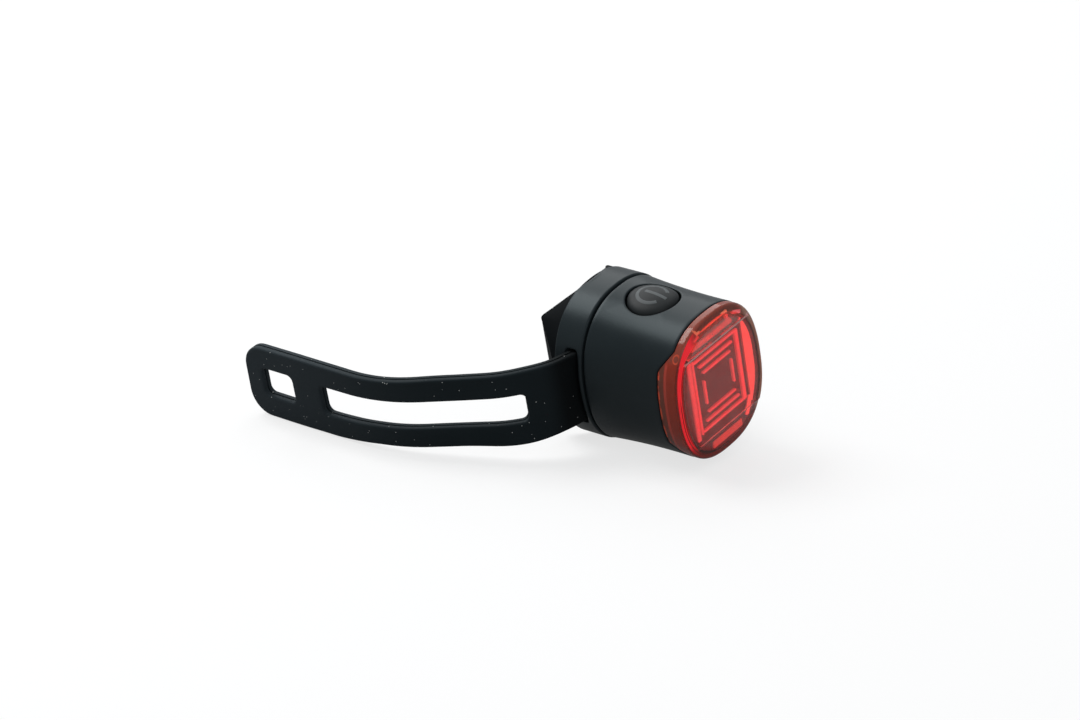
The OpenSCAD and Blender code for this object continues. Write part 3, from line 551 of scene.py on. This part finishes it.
# Housing
def make_housing():
    """Tube with a rounded front edge and seam edge, a collared button hole and the port's pocket."""
    back = SEAM_Y - SEAM_GAP / 2
    front_round = ((0.0, 0.26), (0.07, 0.08))
    seam_round = ((0.2, 0.05), (0.07, 0.18), (0.0, 0.42))
    skin, inner = 46, 12

    def place(angle, row):
        front = front_edge(angle)
        if row < len(front_round):
            step, inset = front_round[row]
            return body_point(angle, front + step, inset)
        row -= len(front_round)
        if row <= skin:
            return body_point(angle, mix(front + 0.25, back - 0.42, row / skin))
        row -= skin + 1
        if row < len(seam_round):
            step, inset = seam_round[row]
            return body_point(angle, back - step, inset)
        row -= len(seam_round)
        if row < inner:
            return body_point(angle, mix(back, LED_BOARD_Y, row / (inner - 1)), WALL)
        rebate = ((LED_BOARD_Y, REBATE_WALL), (front, REBATE_WALL), (front, front_round[0][1]))
        return body_point(angle, *rebate[row - inner])

    obj = sleeve("housing_shell", len(front_round) + skin + 1 + len(seam_round) + inner + 3, place)

    def skin_face(depth, half_x, middle_y, half_y, up):
        def test(face):
            at = face.calc_center_median()
            reach = body_top(at.x, at.y)
            return (abs(at.x) < half_x and abs(at.y - middle_y) < half_y and at.z * up > 0
                    and abs(reach - abs(at.z) - depth) < 0.9)
        return test

    def open_patch(depth, half_x, middle_y, half_y, up):
        """Delete a patch of the outer or inner skin, and pick the open edges."""
        pick("faces", skin_face(depth, half_x, middle_y, half_y, up))
        bpy.ops.mesh.delete(type="FACE")
        pick("edges", lambda edge: edge.is_boundary)

    def round_loop(radius, height):
        def place(co):
            turn = math.atan2(co.y - BUTTON_Y, co.x)
            x, y = radius * math.cos(turn), BUTTON_Y + radius * math.sin(turn)
            return Vector((x, y, height(x, y)))
        return place

    hole_r = BUTTON_R + BUTTON_GAP
    open_patch(0, hole_r + 1.1, BUTTON_Y, hole_r + 1.1, 1)
    lip = [(0.6, 0.0), (0.4, 0.0), (0.24, 0.01), (0.14, 0.04), (0.06, 0.1), (0.01, 0.2), (0, 0.4)]
    extrude_to(*[round_loop(hole_r + out, lambda x, y, drop=drop: body_top(x, y) - drop) for out, drop in lip])
    extrude_to(round_loop(hole_r, lambda x, y: SEAT_Z), round_loop(FLANGE_R, lambda x, y: SEAT_Z))
    open_patch(WALL, FLANGE_R + 1, BUTTON_Y, FLANGE_R + 1, 1)
    bpy.ops.mesh.bridge_edge_loops()

    def port_loop(width, length, squareness, height):
        def place(co):
            turn = math.atan2((co.y - PORT_Y) / length, co.x / width)
            x, y = outline(turn, 2, 2, squareness)
            x, y = x * width / 2, PORT_Y + y * length / 2
            return Vector((x, y, height(x, y)))
        return place

    def under(drop):
        return lambda x, y: drop - body_top(x, y)

    width, length = FLAP_W + 2 * FLAP_GAP, FLAP_L + 2 * FLAP_GAP
    open_patch(0, width / 2 + 0.6, PORT_Y, length / 2 + 0.6, -1)
    rim = [(0.5, 0.0), (0.3, 0.01), (0.12, 0.08), (0.0, 0.3), (0.0, FLAP_T + FIT)]
    extrude_to(*[port_loop(width + grow, length + grow, FLAP_N, under(drop)) for grow, drop in rim])
    extrude_to(port_loop(SOCKET_W, SOCKET_H, 4, under(FLAP_T + FIT)),
               port_loop(SOCKET_W, SOCKET_H, 4, lambda x, y: PORT_IN_Z),
               port_loop(SOCKET_W + 3, SOCKET_H + 3, 6, lambda x, y: PORT_IN_Z))
    open_patch(WALL, width / 2 + 0.6, PORT_Y, length / 2 + 0.6, -1)
    bpy.ops.mesh.bridge_edge_loops()
    close_mesh()
    return finish_piece(obj, "light", SHELL, ["housing"])


def make_rear_cover():
    """Band behind the seam: rounded edges, recess for the pad, and the strap's slot."""
    front = SEAM_Y + SEAM_GAP / 2
    skin = -BAND_PROUD
    rows = [(FLOOR_Y, None), (FLOOR_Y, WALL), (front, WALL), (front, 0.42 + skin), (front + 0.07, 0.18 + skin)]
    rows += [(front + 0.2, 0.05 + skin), (front + 0.42, skin), (SLOT_NEAR_Y, skin)]
    rows += [(mix(SLOT_NEAR_Y, SLOT_FAR_Y, k / 8), skin) for k in range(1, 9)]
    rows += [(y, skin) for y in (-13.6, -13.1, -12.75, -12.55)] + [(RIM_Y - 0.08, 0.07 + skin), (RIM_Y, 0.24 + skin)]
    rows += [(RIM_Y, 1.2), (RIM_Y - 0.05, 1.38), (RIM_Y - 0.25, RECESS_WALL), (RECESS_Y, RECESS_WALL), (RECESS_Y, None)]

    def place(angle, row):
        y, inset = rows[row]
        if inset is None:
            return Vector((0, y, 0))
        point = body_point(angle, y, inset)
        post = math.sqrt(max((POST_R + 0.3) ** 2 - point.x ** 2, 0))
        point.y = smooth_min(y, -post + min(y - RIM_Y, 0), 0.2) if y > -13.2 else y
        return point

    obj = sleeve("cover_shell", len(rows), place)

    def slot_face(face):
        at = face.calc_center_median()
        inside = SLOT_NEAR_Y < at.y < SLOT_FAR_Y and abs(at.z) < SLOT_OPEN_Z
        return inside and at.x < 0 and -at.x > body_side(at.y, at.z) - 0.5

    def slot_loop(half_z, half_y, depth):
        def place(co):
            turn = math.atan2(co.z / half_z, (co.y - SLOT_Y + (co.x + body_side(SLOT_Y, co.z)) * SLOT_LEAN) / half_y)
            y, z = outline(turn, 2, 2, 6)
            y, z = y * half_y + SLOT_Y - depth * SLOT_LEAN, z * half_z
            return Vector((depth - body_side(SLOT_Y, z), y, z))
        return place

    pick("faces", slot_face)
    bpy.ops.mesh.delete(type="FACE")
    pick("edges", lambda edge: edge.is_boundary)
    loops = [(8.95, 2.0, skin), (8.8, 1.9, 0.03 + skin), (8.68, 1.82, 0.12), (8.6, 1.76, 0.35), (8.45, 1.68, 1.2),
             (8.4, 1.65, 4)]
    extrude_to(*[slot_loop(*loop) for loop in loops])
    bpy.ops.mesh.edge_face_add()
    close_mesh()
    return finish_piece(obj, "light", SHELL, ["rear_cover"])


def make_hook():
    """Hook on the right side: stem out of the band and a lip that points forward."""
    object_mode()
    bpy.ops.mesh.primitive_cube_add(size=1, location=HOOK_PLACE, scale=HOOK_SIZE)
    obj = named("strap_hook")
    take(obj)
    pick("faces", lambda face: face.normal.x > 0.9)
    bpy.ops.mesh.extrude_region_move(TRANSFORM_OT_translate={"value": (HOOK_OUT, 0, 0)})
    pick("faces", lambda face: face.normal.y < -0.9 and face.calc_center_median().x > HOOK_PLACE[0] + HOOK_SIZE[0] / 2)
    bpy.ops.mesh.extrude_region_move(TRANSFORM_OT_translate={"value": (0, -HOOK_LIP, 0)})
    add_modifier(obj, "BEVEL", width=0.7, segments=4, limit_method="ANGLE", angle_limit=math.radians(40))
    return finish_piece(obj, "light", SHELL)


# Lens and light guide
def make_lens():
    """Clear cap: side windows, rounded rim, flat front between two ridges with a facet beyond each, hollow behind."""
    skirt = [(SKIRT_END_Y, LENS_SIDE), (SKIRT_END_Y, REBATE_WALL + FIT), (None, REBATE_WALL + FIT)]
    edge = [(0.0, 0.3), (0.07, 0.13), (0.2, 0.06)]
    rim = [(LENS_ROUND * (1 - math.sin(a)), 0.06 + LENS_ROUND * (1 - math.cos(a)))
           for a in (math.radians(15 * k) for k in range(7))]
    side, facet = 8, 7
    ridge = [(1.022, 0.02), (1.016, -0.02), (1.008, -0.09), (1.0, -0.11), (0.992, -0.09), (0.984, -0.02), (0.978, 0.0),
             (0.96, 0.0), (0.9, 0.0), (0.75, 0.0), (0.55, 0.0), (0.35, 0.0), (0.15, 0.0), (0.0, 0.0)]

    def flat(angle):
        """Edge of the flat front: the rim's form, cut off at the two ridges."""
        point = body_point(angle, FRONT_Y, FIT + LENS_ROUND + CROWN_IN)
        point *= min(1, CROWN_H / 2 / max(abs(point.z), 0.01))
        point.y = CROWN_Y
        return point

    def place(angle, row):
        back = front_edge(angle) - 0.12
        if row < len(skirt):
            y, inset = skirt[row]
            point = body_point(angle, SKIRT_END_Y, inset)
            point.y = back if y is None else y
            return point
        row -= len(skirt)
        if row < len(edge):
            return body_point(angle, back - edge[row][0], edge[row][1])
        row -= len(edge)
        if row < side:
            return body_point(angle, mix(back - 0.2, FACE_Y + LENS_ROUND, (row + 1) / (side + 1)), 0.06)
        row -= side
        if row < len(rim):
            point = body_point(angle, FRONT_Y, rim[row][1])
            point.y = FACE_Y + rim[row][0]
            return point
        row -= len(rim)
        if row < facet:
            start = body_point(angle, FRONT_Y, rim[-1][1])
            start.y = FACE_Y
            return start.lerp(flat(angle), (row + 1) / (facet + 1) * 0.94)
        row -= facet
        if row < len(ridge):
            scale, proud = ridge[row]
            point = flat(angle) * scale
            point.y = CROWN_Y + proud
            return point
        row -= len(ridge)
        if row == 0:
            return Vector((0, LENS_IN_Y, 0))
        point = body_point(angle, SKIRT_END_Y, LENS_SIDE)
        point.y = (LENS_IN_Y, LENS_IN_Y, SKIRT_END_Y)[row]
        return point

    obj = sleeve("lens_cap", len(skirt) + len(edge) + side + len(rim) + facet + len(ridge) + 3, place)
    return finish_piece(obj, "light", LENS, ["lens"], angle=28)


def make_bar(name, x, z, width, height, bevel, look, turn=0):
    """Bar on the light guide with a rounded front."""
    object_mode()
    bpy.ops.mesh.primitive_cube_add(size=1, location=(x, (RIB_Y + RIB_BACK_Y) / 2, z),
                                    scale=(width, RIB_BACK_Y - RIB_Y, height), rotation=(0, math.radians(turn), 0))
    obj = named(name)
    add_modifier(obj, "BEVEL", width=bevel, segments=3, limit_method="ANGLE")
    return finish_piece(obj, "light", look)


def make_optic():
    """Light guide: dark plate, nested square of ribs, prisms round it and small studs at the top; ribs, studs and all
    prisms but the left one carry a painted glow.
    """
    rows = [(PLATE_Y, 0.0), (PLATE_Y, 0.5), (PLATE_Y, 0.98), (PLATE_Y + 0.15, 1.0), (PLATE_BACK_Y, 1.0),
            (PLATE_BACK_Y, 0.0)]

    def place(angle, row):
        y, scale = rows[row]
        point = body_point(angle, SKIRT_END_Y, LENS_SIDE + FIT) * scale
        point.y = y
        return point

    plate = sleeve("optic_plate", len(rows), place, 96)
    finish_piece(plate, "light", PLATE, ["optic"])

    inner = RIB_SQUARE_W / 2 - RIB_W - RIB_SPACE - POST_LINE_W
    for side, across, along in ((-1, "low", "left"), (1, "top", "right")):
        for row in range(3):
            width = RIB_SQUARE_W - 2 * (RIB_W + RIB_SPACE + POST_LINE_W + row * RIB_SHORTEN)
            z = side * (RIB_SQUARE_H / 2 - row * RIB_STEP - RIB_W / 2)
            grow = 0 if row else 0.5
            make_bar(f"rib_{across}_{row}", -grow / 2, z, width + grow, RIB_W, RIB_ROUND, RIBS)
        make_bar(f"rib_{along}_short", side * (inner - 2 * RIB_SHORTEN), 0, RIB_W, RIB_SIDE_H, RIB_ROUND, RIBS)

    post_x = RIB_SQUARE_W / 2 - RIB_W / 2
    line_x = RIB_SQUARE_W / 2 - RIB_W - RIB_SPACE / 2 - POST_LINE_W / 2
    make_bar("rib_right", post_x, 0, RIB_W, RIB_SQUARE_H, RIB_ROUND, RIBS)
    make_bar("rib_right_line", line_x, 0, POST_LINE_W, RIB_SQUARE_H, RIB_ROUND / 2, RIBS)
    make_bar("rib_left", -post_x - 1.3, -0.2, 1.0, RIB_SQUARE_H + 1.8, RIB_ROUND, RIBS)
    make_bar("rib_left_line", -post_x - 0.02, 0.1, 0.36, RIB_SQUARE_H + 0.6, 0.1, RIBS)

    make_side_prism("prism_left", -1, PRISM_X + 0.5, DULL_PRISM)
    make_side_prism("prism_right", 1, PRISM_X, PRISM)
    low_z = -PRISM_BAR_Z - PRISM_BAR_W / 2
    make_bar("prism_corner", 7.9, -10.2, 1.2, 4.2, PRISM_ROUND, PRISM, 28)
    make_bar("prism_low", 0.3, low_z, PRISM_BAR_L - 0.6, PRISM_BAR_W, PRISM_ROUND, LOW_PRISM)
    make_bar("prism_top", 0.3, 13.5, PRISM_BAR_L - 0.2, 0.5, 0.12, AMBER_PRISM)
    make_bar("prism_top_wide", -0.2, 10.75, 13.5, 0.9, PRISM_ROUND, DIM_PRISM)
    for k, (x, z, width, height, turn) in enumerate(GLOW_STUDS):
        make_bar(f"prism_top_glow_stud_{k}", x, z, width, height, 0.2, RIBS, turn)


def make_side_prism(name, side, inner, look):
    """Side prism: from its straight inner edge out towards the lens wall, with a bulging front."""
    object_mode()
    bpy.ops.mesh.primitive_grid_add(x_subdivisions=32, y_subdivisions=6, size=1)
    obj = named(name)
    take(obj)
    bpy.ops.mesh.select_mode(type="VERT")
    bpy.ops.mesh.select_all(action="SELECT")

    def place(co):
        z, share = co.x * PRISM_H, co.y + 0.5
        wall = body_side(SKIRT_END_Y, z, LENS_SIDE + PRISM_SPACE)
        crest = 4 * share * (1 - share)
        return Vector((side * mix(inner, wall, share), RIB_Y + PRISM_BULGE * (1 - crest), z))

    move_picked(place)
    bpy.ops.mesh.select_mode(type="FACE")
    bpy.ops.mesh.select_all(action="SELECT")
    bpy.ops.mesh.extrude_region_move()
    move_picked(lambda co: Vector((co.x, RIB_BACK_Y, co.z)))
    close_mesh()
    add_modifier(obj, "BEVEL", width=0.12, segments=2, limit_method="ANGLE", angle_limit=math.radians(45))
    finish_piece(obj, "light", look)


# Button
def dome(x, y):
    """Height of the button's top over a point."""
    share = clamp(math.hypot(x, y - BUTTON_Y) / BUTTON_R)
    return body_top(x, y) + BUTTON_DOME * (1 - share ** 2.2)


def make_button():
    """Domed rubber cap with a rounded edge, the flange under the housing and the stem."""
    edge = [(BUTTON_R - inset, drop)
            for inset, drop in ((0, 0.75), (0.04, 0.5), (0.13, 0.3), (0.28, 0.15), (0.5, 0.05))]
    under = [(0, STEM_Z), (STEM_R - 0.15, STEM_Z), (STEM_R, STEM_Z + 0.15), (STEM_R, FLANGE_Z),
             (FLANGE_R - 0.12, FLANGE_Z), (FLANGE_R, FLANGE_Z + 0.12), (FLANGE_R, FLANGE_Z + FLANGE_T - 0.12),
             (FLANGE_R - 0.12, FLANGE_Z + FLANGE_T), (BUTTON_R, FLANGE_Z + FLANGE_T)]
    top = [4.5, 4.1, 3.6, 3.0, 2.3, 1.6, 0.8, 0.0]
    count = len(under) + len(edge) + len(top)

    def place(angle, row):
        if row < len(under):
            radius, z = under[row]
            return Vector((radius * math.cos(angle), BUTTON_Y + radius * math.sin(angle), z))
        row -= len(under)
        radius, drop = edge[row] if row < len(edge) else (top[row - len(edge)], 0.0)
        x, y = radius * math.cos(angle), BUTTON_Y + radius * math.sin(angle)
        return Vector((x, y, dome(x, y) - drop))

    obj = sleeve("button_cap", count, place, 128)
    finish_piece(obj, "button", BUTTON, ["button"])

    def settle(co):
        return Vector((co.x, co.y, dome(co.x, co.y) - 0.02 + SYMBOL_PROUD * co.z))

    object_mode()
    bpy.ops.mesh.primitive_torus_add(major_radius=SYMBOL_R, minor_radius=SYMBOL_HALF_W, major_segments=96,
                                     minor_segments=12, location=(0, BUTTON_Y, 0))
    arc = named("symbol_arc")
    take(arc)

    def in_opening(face):
        at = face.calc_center_median()
        return abs(math.atan2(at.x, BUTTON_Y - at.y)) < SYMBOL_OPEN

    pick("faces", in_opening)
    bpy.ops.mesh.delete(type="FACE")
    pick("edges", lambda edge: edge.is_boundary)
    bpy.ops.mesh.edge_face_add()
    bpy.ops.mesh.select_all(action="SELECT")
    move_picked(settle)
    close_mesh()
    finish_piece(arc, "button", SYMBOL)

    object_mode()
    bpy.ops.mesh.primitive_cube_add(size=1, location=(0, BUTTON_Y - SYMBOL_BAR_OFF, 0),
                                    scale=(2 * SYMBOL_HALF_W, SYMBOL_BAR_L, 2 * SYMBOL_HALF_W))
    bar = named("symbol_bar")
    take(bar)
    bpy.ops.mesh.select_all(action="SELECT")
    bpy.ops.mesh.subdivide(number_cuts=7)
    add_modifier(bar, "BEVEL", width=0.3, segments=3, limit_method="ANGLE", angle_limit=math.radians(50))
    take(bar)
    bpy.ops.mesh.select_all(action="SELECT")
    move_picked(settle)
    finish_piece(bar, "button", SYMBOL)


# Saddle pad
def pad_rear(x):
    """Rear surface of the pad: the saddle for the post between the ears, and the ears' outer slopes."""
    reach = abs(x)
    slope = mix(EAR_Y, RIM_Y, (reach - EAR_X) / EAR_RUN)
    if reach > SADDLE_X:
        return slope
    return smooth_min(-math.sqrt(POST_R ** 2 - reach ** 2), slope, 1.0)


def make_pad():
    """Soft pad: saddle with grip grooves, pointed ears and the plug that fills the recess."""
    half = [0, 0.9, 1.8, 2.7, 3.6, 4.5, 5.4, 6.3, 7.2, 8.0, 8.8, 9.4, 9.8, 10.1, 10.35, 10.6, 10.8, 11.0, 11.25, 11.6,
            12.1, 12.6, 13.1, 13.5, 13.9, 14.2, 14.4, 14.52]
    lines = [-x for x in half[:0:-1]] + half
    rows = 96

    def pad_section(inset):
        return BODY_SECTION[0] - 2 * inset, BODY_SECTION[1] - 2 * inset, BODY_SECTION[2]

    wide, high, squareness = pad_section(PAD_INSET + PAD_ROUND)

    object_mode()
    bpy.ops.mesh.primitive_grid_add(x_subdivisions=len(lines) - 1, y_subdivisions=rows, size=1)
    obj = named("pad_saddle")
    take(obj)
    bpy.ops.mesh.select_all(action="SELECT")

    def place(co):
        x = lines[round((co.x + 0.5) * (len(lines) - 1))]
        z = 2 * co.y * (high / 2 * (1 - clamp(abs(2 * x / wide)) ** squareness) ** (1 / squareness))
        wave = clamp((math.cos(z * 2 * math.pi / GROOVE_STEP) - 0.72) / 0.28)
        groove = wave * clamp((GROOVE_HALF_X - abs(x)) / 0.6) * clamp(GROOVE_HALF_Z - abs(z))
        return Vector((x, pad_rear(x) - GROOVE_DEPTH * groove, z))

    move_picked(place)
    pick("edges", lambda edge: edge.is_boundary)

    def outward(inset, rear):
        def place(co):
            x, z = outline(math.atan2(co.z, co.x), *pad_section(inset))
            return Vector((x, rear(co.y), z))
        return place

    seat, plug = RIM_Y + PAD_FIT, RECESS_Y + PAD_FIT
    extrude_to(outward(PAD_INSET + 0.18, lambda y: y - 0.04), outward(PAD_INSET + 0.06, lambda y: y - 0.1),
               outward(PAD_INSET, lambda y: max(y - 0.2, seat)), outward(PAD_INSET, lambda y: seat),
               outward(PLUG_INSET, lambda y: seat), outward(PLUG_INSET, lambda y: plug))
    bpy.ops.mesh.edge_face_add()
    close_mesh(0.01)
    obj = finish_piece(obj, "light", PAD, ["saddle_pad"], angle=50)
    return obj


# Strap
def rounded_outline(start, stop, width, corner_start, corner_stop):
    """Points of a rectangle along the strap, with its two ends' corners rounded."""
    points = []
    for s, z, radius, begin in ((stop, width / 2, corner_stop, 0), (start, width / 2, corner_start, 90),
                                (start, -width / 2, corner_start, 180), (stop, -width / 2, corner_stop, -90)):
        middle_s = s - radius if s == stop else s + radius
        middle_z = z - math.copysign(radius, z)
        steps = 10 if radius > 2 else 6
        for k in range(steps + 1):
            turn = math.radians(begin + 90 * k / steps)
            points.append((middle_s + radius * math.cos(turn), middle_z + radius * math.sin(turn)))
    return points


def make_strap():
    """Silicone band with rounded edges, its long window and square hole, laid along its route."""
    object_mode()
    sheet = bpy.data.curves.new("strap_band", "CURVE")
    sheet.dimensions, sheet.fill_mode = "2D", "BOTH"
    sheet.extrude, sheet.bevel_depth, sheet.bevel_resolution = STRAP_T / 2 - STRAP_ROUND, STRAP_ROUND, 3
    sheet.offset = -STRAP_ROUND
    for points in (rounded_outline(STRAP_ROOT, STRAP_END, STRAP_W, ROOT_CORNER, TIP_R),
                   rounded_outline(*WINDOW_SPAN, WINDOW_WIDE, HOLE_CORNER, HOLE_CORNER),
                   rounded_outline(*HOLE_SPAN, HOLE_WIDE, HOLE_CORNER, HOLE_CORNER)):
        spline = sheet.splines.new("POLY")
        spline.points.add(len(points) - 1)
        for point, (s, z) in zip(spline.points, points):
            point.co = (s, z, 0, 1)
        spline.use_cyclic_u = True
    obj = bpy.data.objects.new("strap_band", sheet)
    bpy.context.scene.collection.objects.link(obj)
    take(obj, "OBJECT")
    bpy.ops.object.convert(target="MESH")
    obj = bpy.context.object
    take(obj)
    close_mesh(0.001)
    for s in range(STRAP_ROOT + 1, int(STRAP_END) + 1):
        bpy.ops.mesh.select_all(action="SELECT")
        bpy.ops.mesh.bisect(plane_co=(s, 0, 0), plane_no=(1, 0, 0))
    for depth in PARTING_CUTS:
        bpy.ops.mesh.select_all(action="SELECT")
        bpy.ops.mesh.bisect(plane_co=(0, 0, depth), plane_no=(0, 0, 1))
    pick("verts", lambda vert: abs(vert.co.z) < PARTING_HALF)
    bpy.ops.transform.shrink_fatten(value=-PARTING_DEPTH)
    bpy.ops.mesh.select_all(action="SELECT")

    def place(co):
        skew = TIP_SKEW * co.y * clamp((co.x - WINDOW_SPAN[1]) / TIP_SKEW_RUN)
        point, heading = strap_route(co.x - skew)
        z = co.y + strap_ease(co.x, co.y)
        return Vector((point.x - co.z * math.sin(heading), point.y + co.z * math.cos(heading), z))

    move_picked(place)
    close_mesh(0.001)
    finish_piece(obj, None, STRAP, ["strap", "strap_anchor"], angle=40)
    start, _ = strap_route(-1.6)
    end, _ = strap_route(4.5)
    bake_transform(obj)
    return obj


# Port flap
def make_flap():
    """Rubber flap: skin flush with the housing, a grip lip at its front, a plug and the hinge roll."""
    plug_w, plug_h = SOCKET_W - 1.1, SOCKET_H - 1.1
    rows = [(0, 0, 2.5, 4), (plug_w - 0.5, plug_h - 0.5, 2.5, 4), (plug_w, plug_h, 2.2, 4), (plug_w, plug_h, FLAP_T, 4),
            (FLAP_W - 0.2, FLAP_L - 0.2, FLAP_T, FLAP_N), (FLAP_W, FLAP_L, FLAP_T - 0.15, FLAP_N),
            (FLAP_W, FLAP_L, 0.3, FLAP_N), (FLAP_W - 0.12, FLAP_L - 0.12, 0.1, FLAP_N),
            (FLAP_W - 0.45, FLAP_L - 0.45, 0.0, FLAP_N), (FLAP_W - 1.6, FLAP_L - 1.6, 0.0, FLAP_N),
            (FLAP_W - 2.2, FLAP_L - 2.2, 0.0, 5), (8, 5, 0.0, 4), (5, 3, 0.0, 3), (2, 1, 0.0, 2), (0, 0, 0.0, 2)]
    rear = FLAP_HINGE_Y + 0.05

    def place(angle, row):
        width, length, inset, squareness = rows[row]
        x, y = outline(angle, 2, 2, squareness)
        x, y = x * width / 2, min(PORT_Y + y * length / 2, rear)
        grip = clamp((PORT_Y - 2.4 - y) / 0.5) * clamp((3.2 - abs(x)) / 0.8) if inset < 0.05 else 0
        return Vector((x, y, inset - body_top(x, y) - 0.3 * grip))

    obj = sleeve("flap_skin", len(rows), place, 96)
    finish_piece(obj, "flap", PAD, ["port_flap"], angle=40)

    object_mode()
    bpy.ops.mesh.primitive_cylinder_add(vertices=32, radius=FLAP_ROLL_R, depth=FLAP_ROLL_W,
                                        location=(0, FLAP_HINGE_Y, FLAP_HINGE_Z), rotation=(0, math.pi / 2, 0))
    roll = named("flap_roll")
    add_modifier(roll, "BEVEL", width=0.2, segments=3, limit_method="ANGLE", angle_limit=math.radians(50))
    finish_piece(roll, "flap", PAD)


# Scene: camera at the photograph's angle, pale floor under the light as it lies, soft light
def make_camera():
    azimuth, elevation, roll = (math.radians(a) for a in CAMERA_TURN)
    level = math.cos(elevation)
    back = Vector((math.sin(azimuth) * level, -math.cos(azimuth) * level, math.sin(elevation)))
    right = Vector((math.cos(azimuth), math.sin(azimuth), 0))
    up = back.cross(right)
    across = right * math.cos(roll) + up * math.sin(roll)
    upright = up * math.cos(roll) - right * math.sin(roll)
    data = bpy.data.cameras.new("camera")
    data.lens, data.sensor_width = LENS_LENGTH, SENSOR_W
    data.clip_start, data.clip_end = 0.01, 50
    camera = bpy.data.objects.new("camera", data)
    bpy.context.scene.collection.objects.link(camera)
    turn = Matrix((across, upright, back)).transposed().to_4x4()
    camera.matrix_world = Matrix.Translation(CAMERA_PLACE) @ turn
    bpy.context.scene.camera = camera


def seen_directly(start):
    """1 for camera rays and for rays that a clear piece sends on, and less for what a glossy piece mirrors."""
    rays = ("Camera", "Glossy", "Transmission")
    camera, glossy, clear = (start.node("LightPath", out=f"Is {ray} Ray") for ray in rays)
    return camera.most(clear).most(glossy * MIRRORED)


def make_stage():
    """Floor under the lying light: it touches the housing's side and the strap's lower edge."""
    object_mode()
    bpy.ops.mesh.primitive_plane_add(size=FLOOR_SIZE, location=FLOOR_PLACE, rotation=(0, LEAN, 0))
    floor = bpy.context.object
    floor.name = "floor"
    made = bpy.data.materials.new("pale_floor")
    made.use_nodes = True
    made.node_tree.nodes.clear()
    start = Wire(made.node_tree)
    diffuse = start.node("BsdfDiffuse", {}, {"Color": colour(FLOOR_TONE)})
    glow = start.node("Emission", {}, {"Color": colour(1), "Strength": seen_directly(start) * FLOOR_GLOW})
    both = start.node("AddShader", {}, {0: diffuse, 1: glow})
    start.node("OutputMaterial", {}, {"Surface": both}, out=None)
    floor.data.materials.append(made)


def make_light():
    """Four soft lamps that lean with the floor, and an even world that is white where it is seen."""
    tilt = Matrix.Rotation(LEAN, 4, "Y")

    def lamp(name, place, size, tall, power):
        data = bpy.data.lights.new(name, "AREA")
        data.shape, data.size, data.size_y, data.energy = "RECTANGLE", size, tall, power
        obj = bpy.data.objects.new(name, data)
        obj.visible_camera = False
        bpy.context.scene.collection.objects.link(obj)
        place = tilt @ Vector(place)
        obj.matrix_world = Matrix.Translation(place) @ (-place).to_track_quat("-Z", "Y").to_matrix().to_4x4()

    lamp("soft_key", (-0.17, 0.58, 0.8), 0.6, 0.5, 5.9)
    lamp("soft_back", (0.5, 0.55, 0.68), 0.8, 0.7, 3.2)
    lamp("soft_top", (0, -0.1, 0.9), 0.8, 0.8, 0.6)
    lamp("soft_front", (-0.55, -0.6, 0.6), 0.6, 0.6, 1.0)
    world = bpy.data.worlds.new("soft_white")
    bpy.context.scene.world = world
    world.use_nodes = True
    world.node_tree.nodes.clear()
    start = Wire(world.node_tree)
    direct = seen_directly(start)
    sky = start.node("Background", {}, {"Color": direct.blend(colour(0.94, 1.0, 1.05), colour(1)),
                                        "Strength": SKY_STRENGTH + direct * (1 - SKY_STRENGTH)})
    start.node("OutputWorld", {}, {"Surface": sky}, out=None)


make_camera()
make_stage()
make_light()
make_housing()
make_rear_cover()
make_hook()
make_lens()
make_optic()
make_button()
make_pad()
make_strap()
make_flap()

INSIDE = {"lens_seal": SEAL, "reflector": TRAY, "led_board": BOARD, "leds": LED, "main_board": BOARD,
          "tact_switch": SWITCH, "switch_plunger": PLUNGER, "usb_socket": STEEL, "usb_tongue": SWITCH, "battery": CELL,
          "battery_foam": FOAM, "cover_seal": SEAL, "cover_screws": STEEL}
for name, used in INSIDE.items():
    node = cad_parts[name]
    node.data.materials.clear()
    node.data.materials.append(used)

bpy.context.scene.view_settings.view_transform = "Standard"
object_mode()
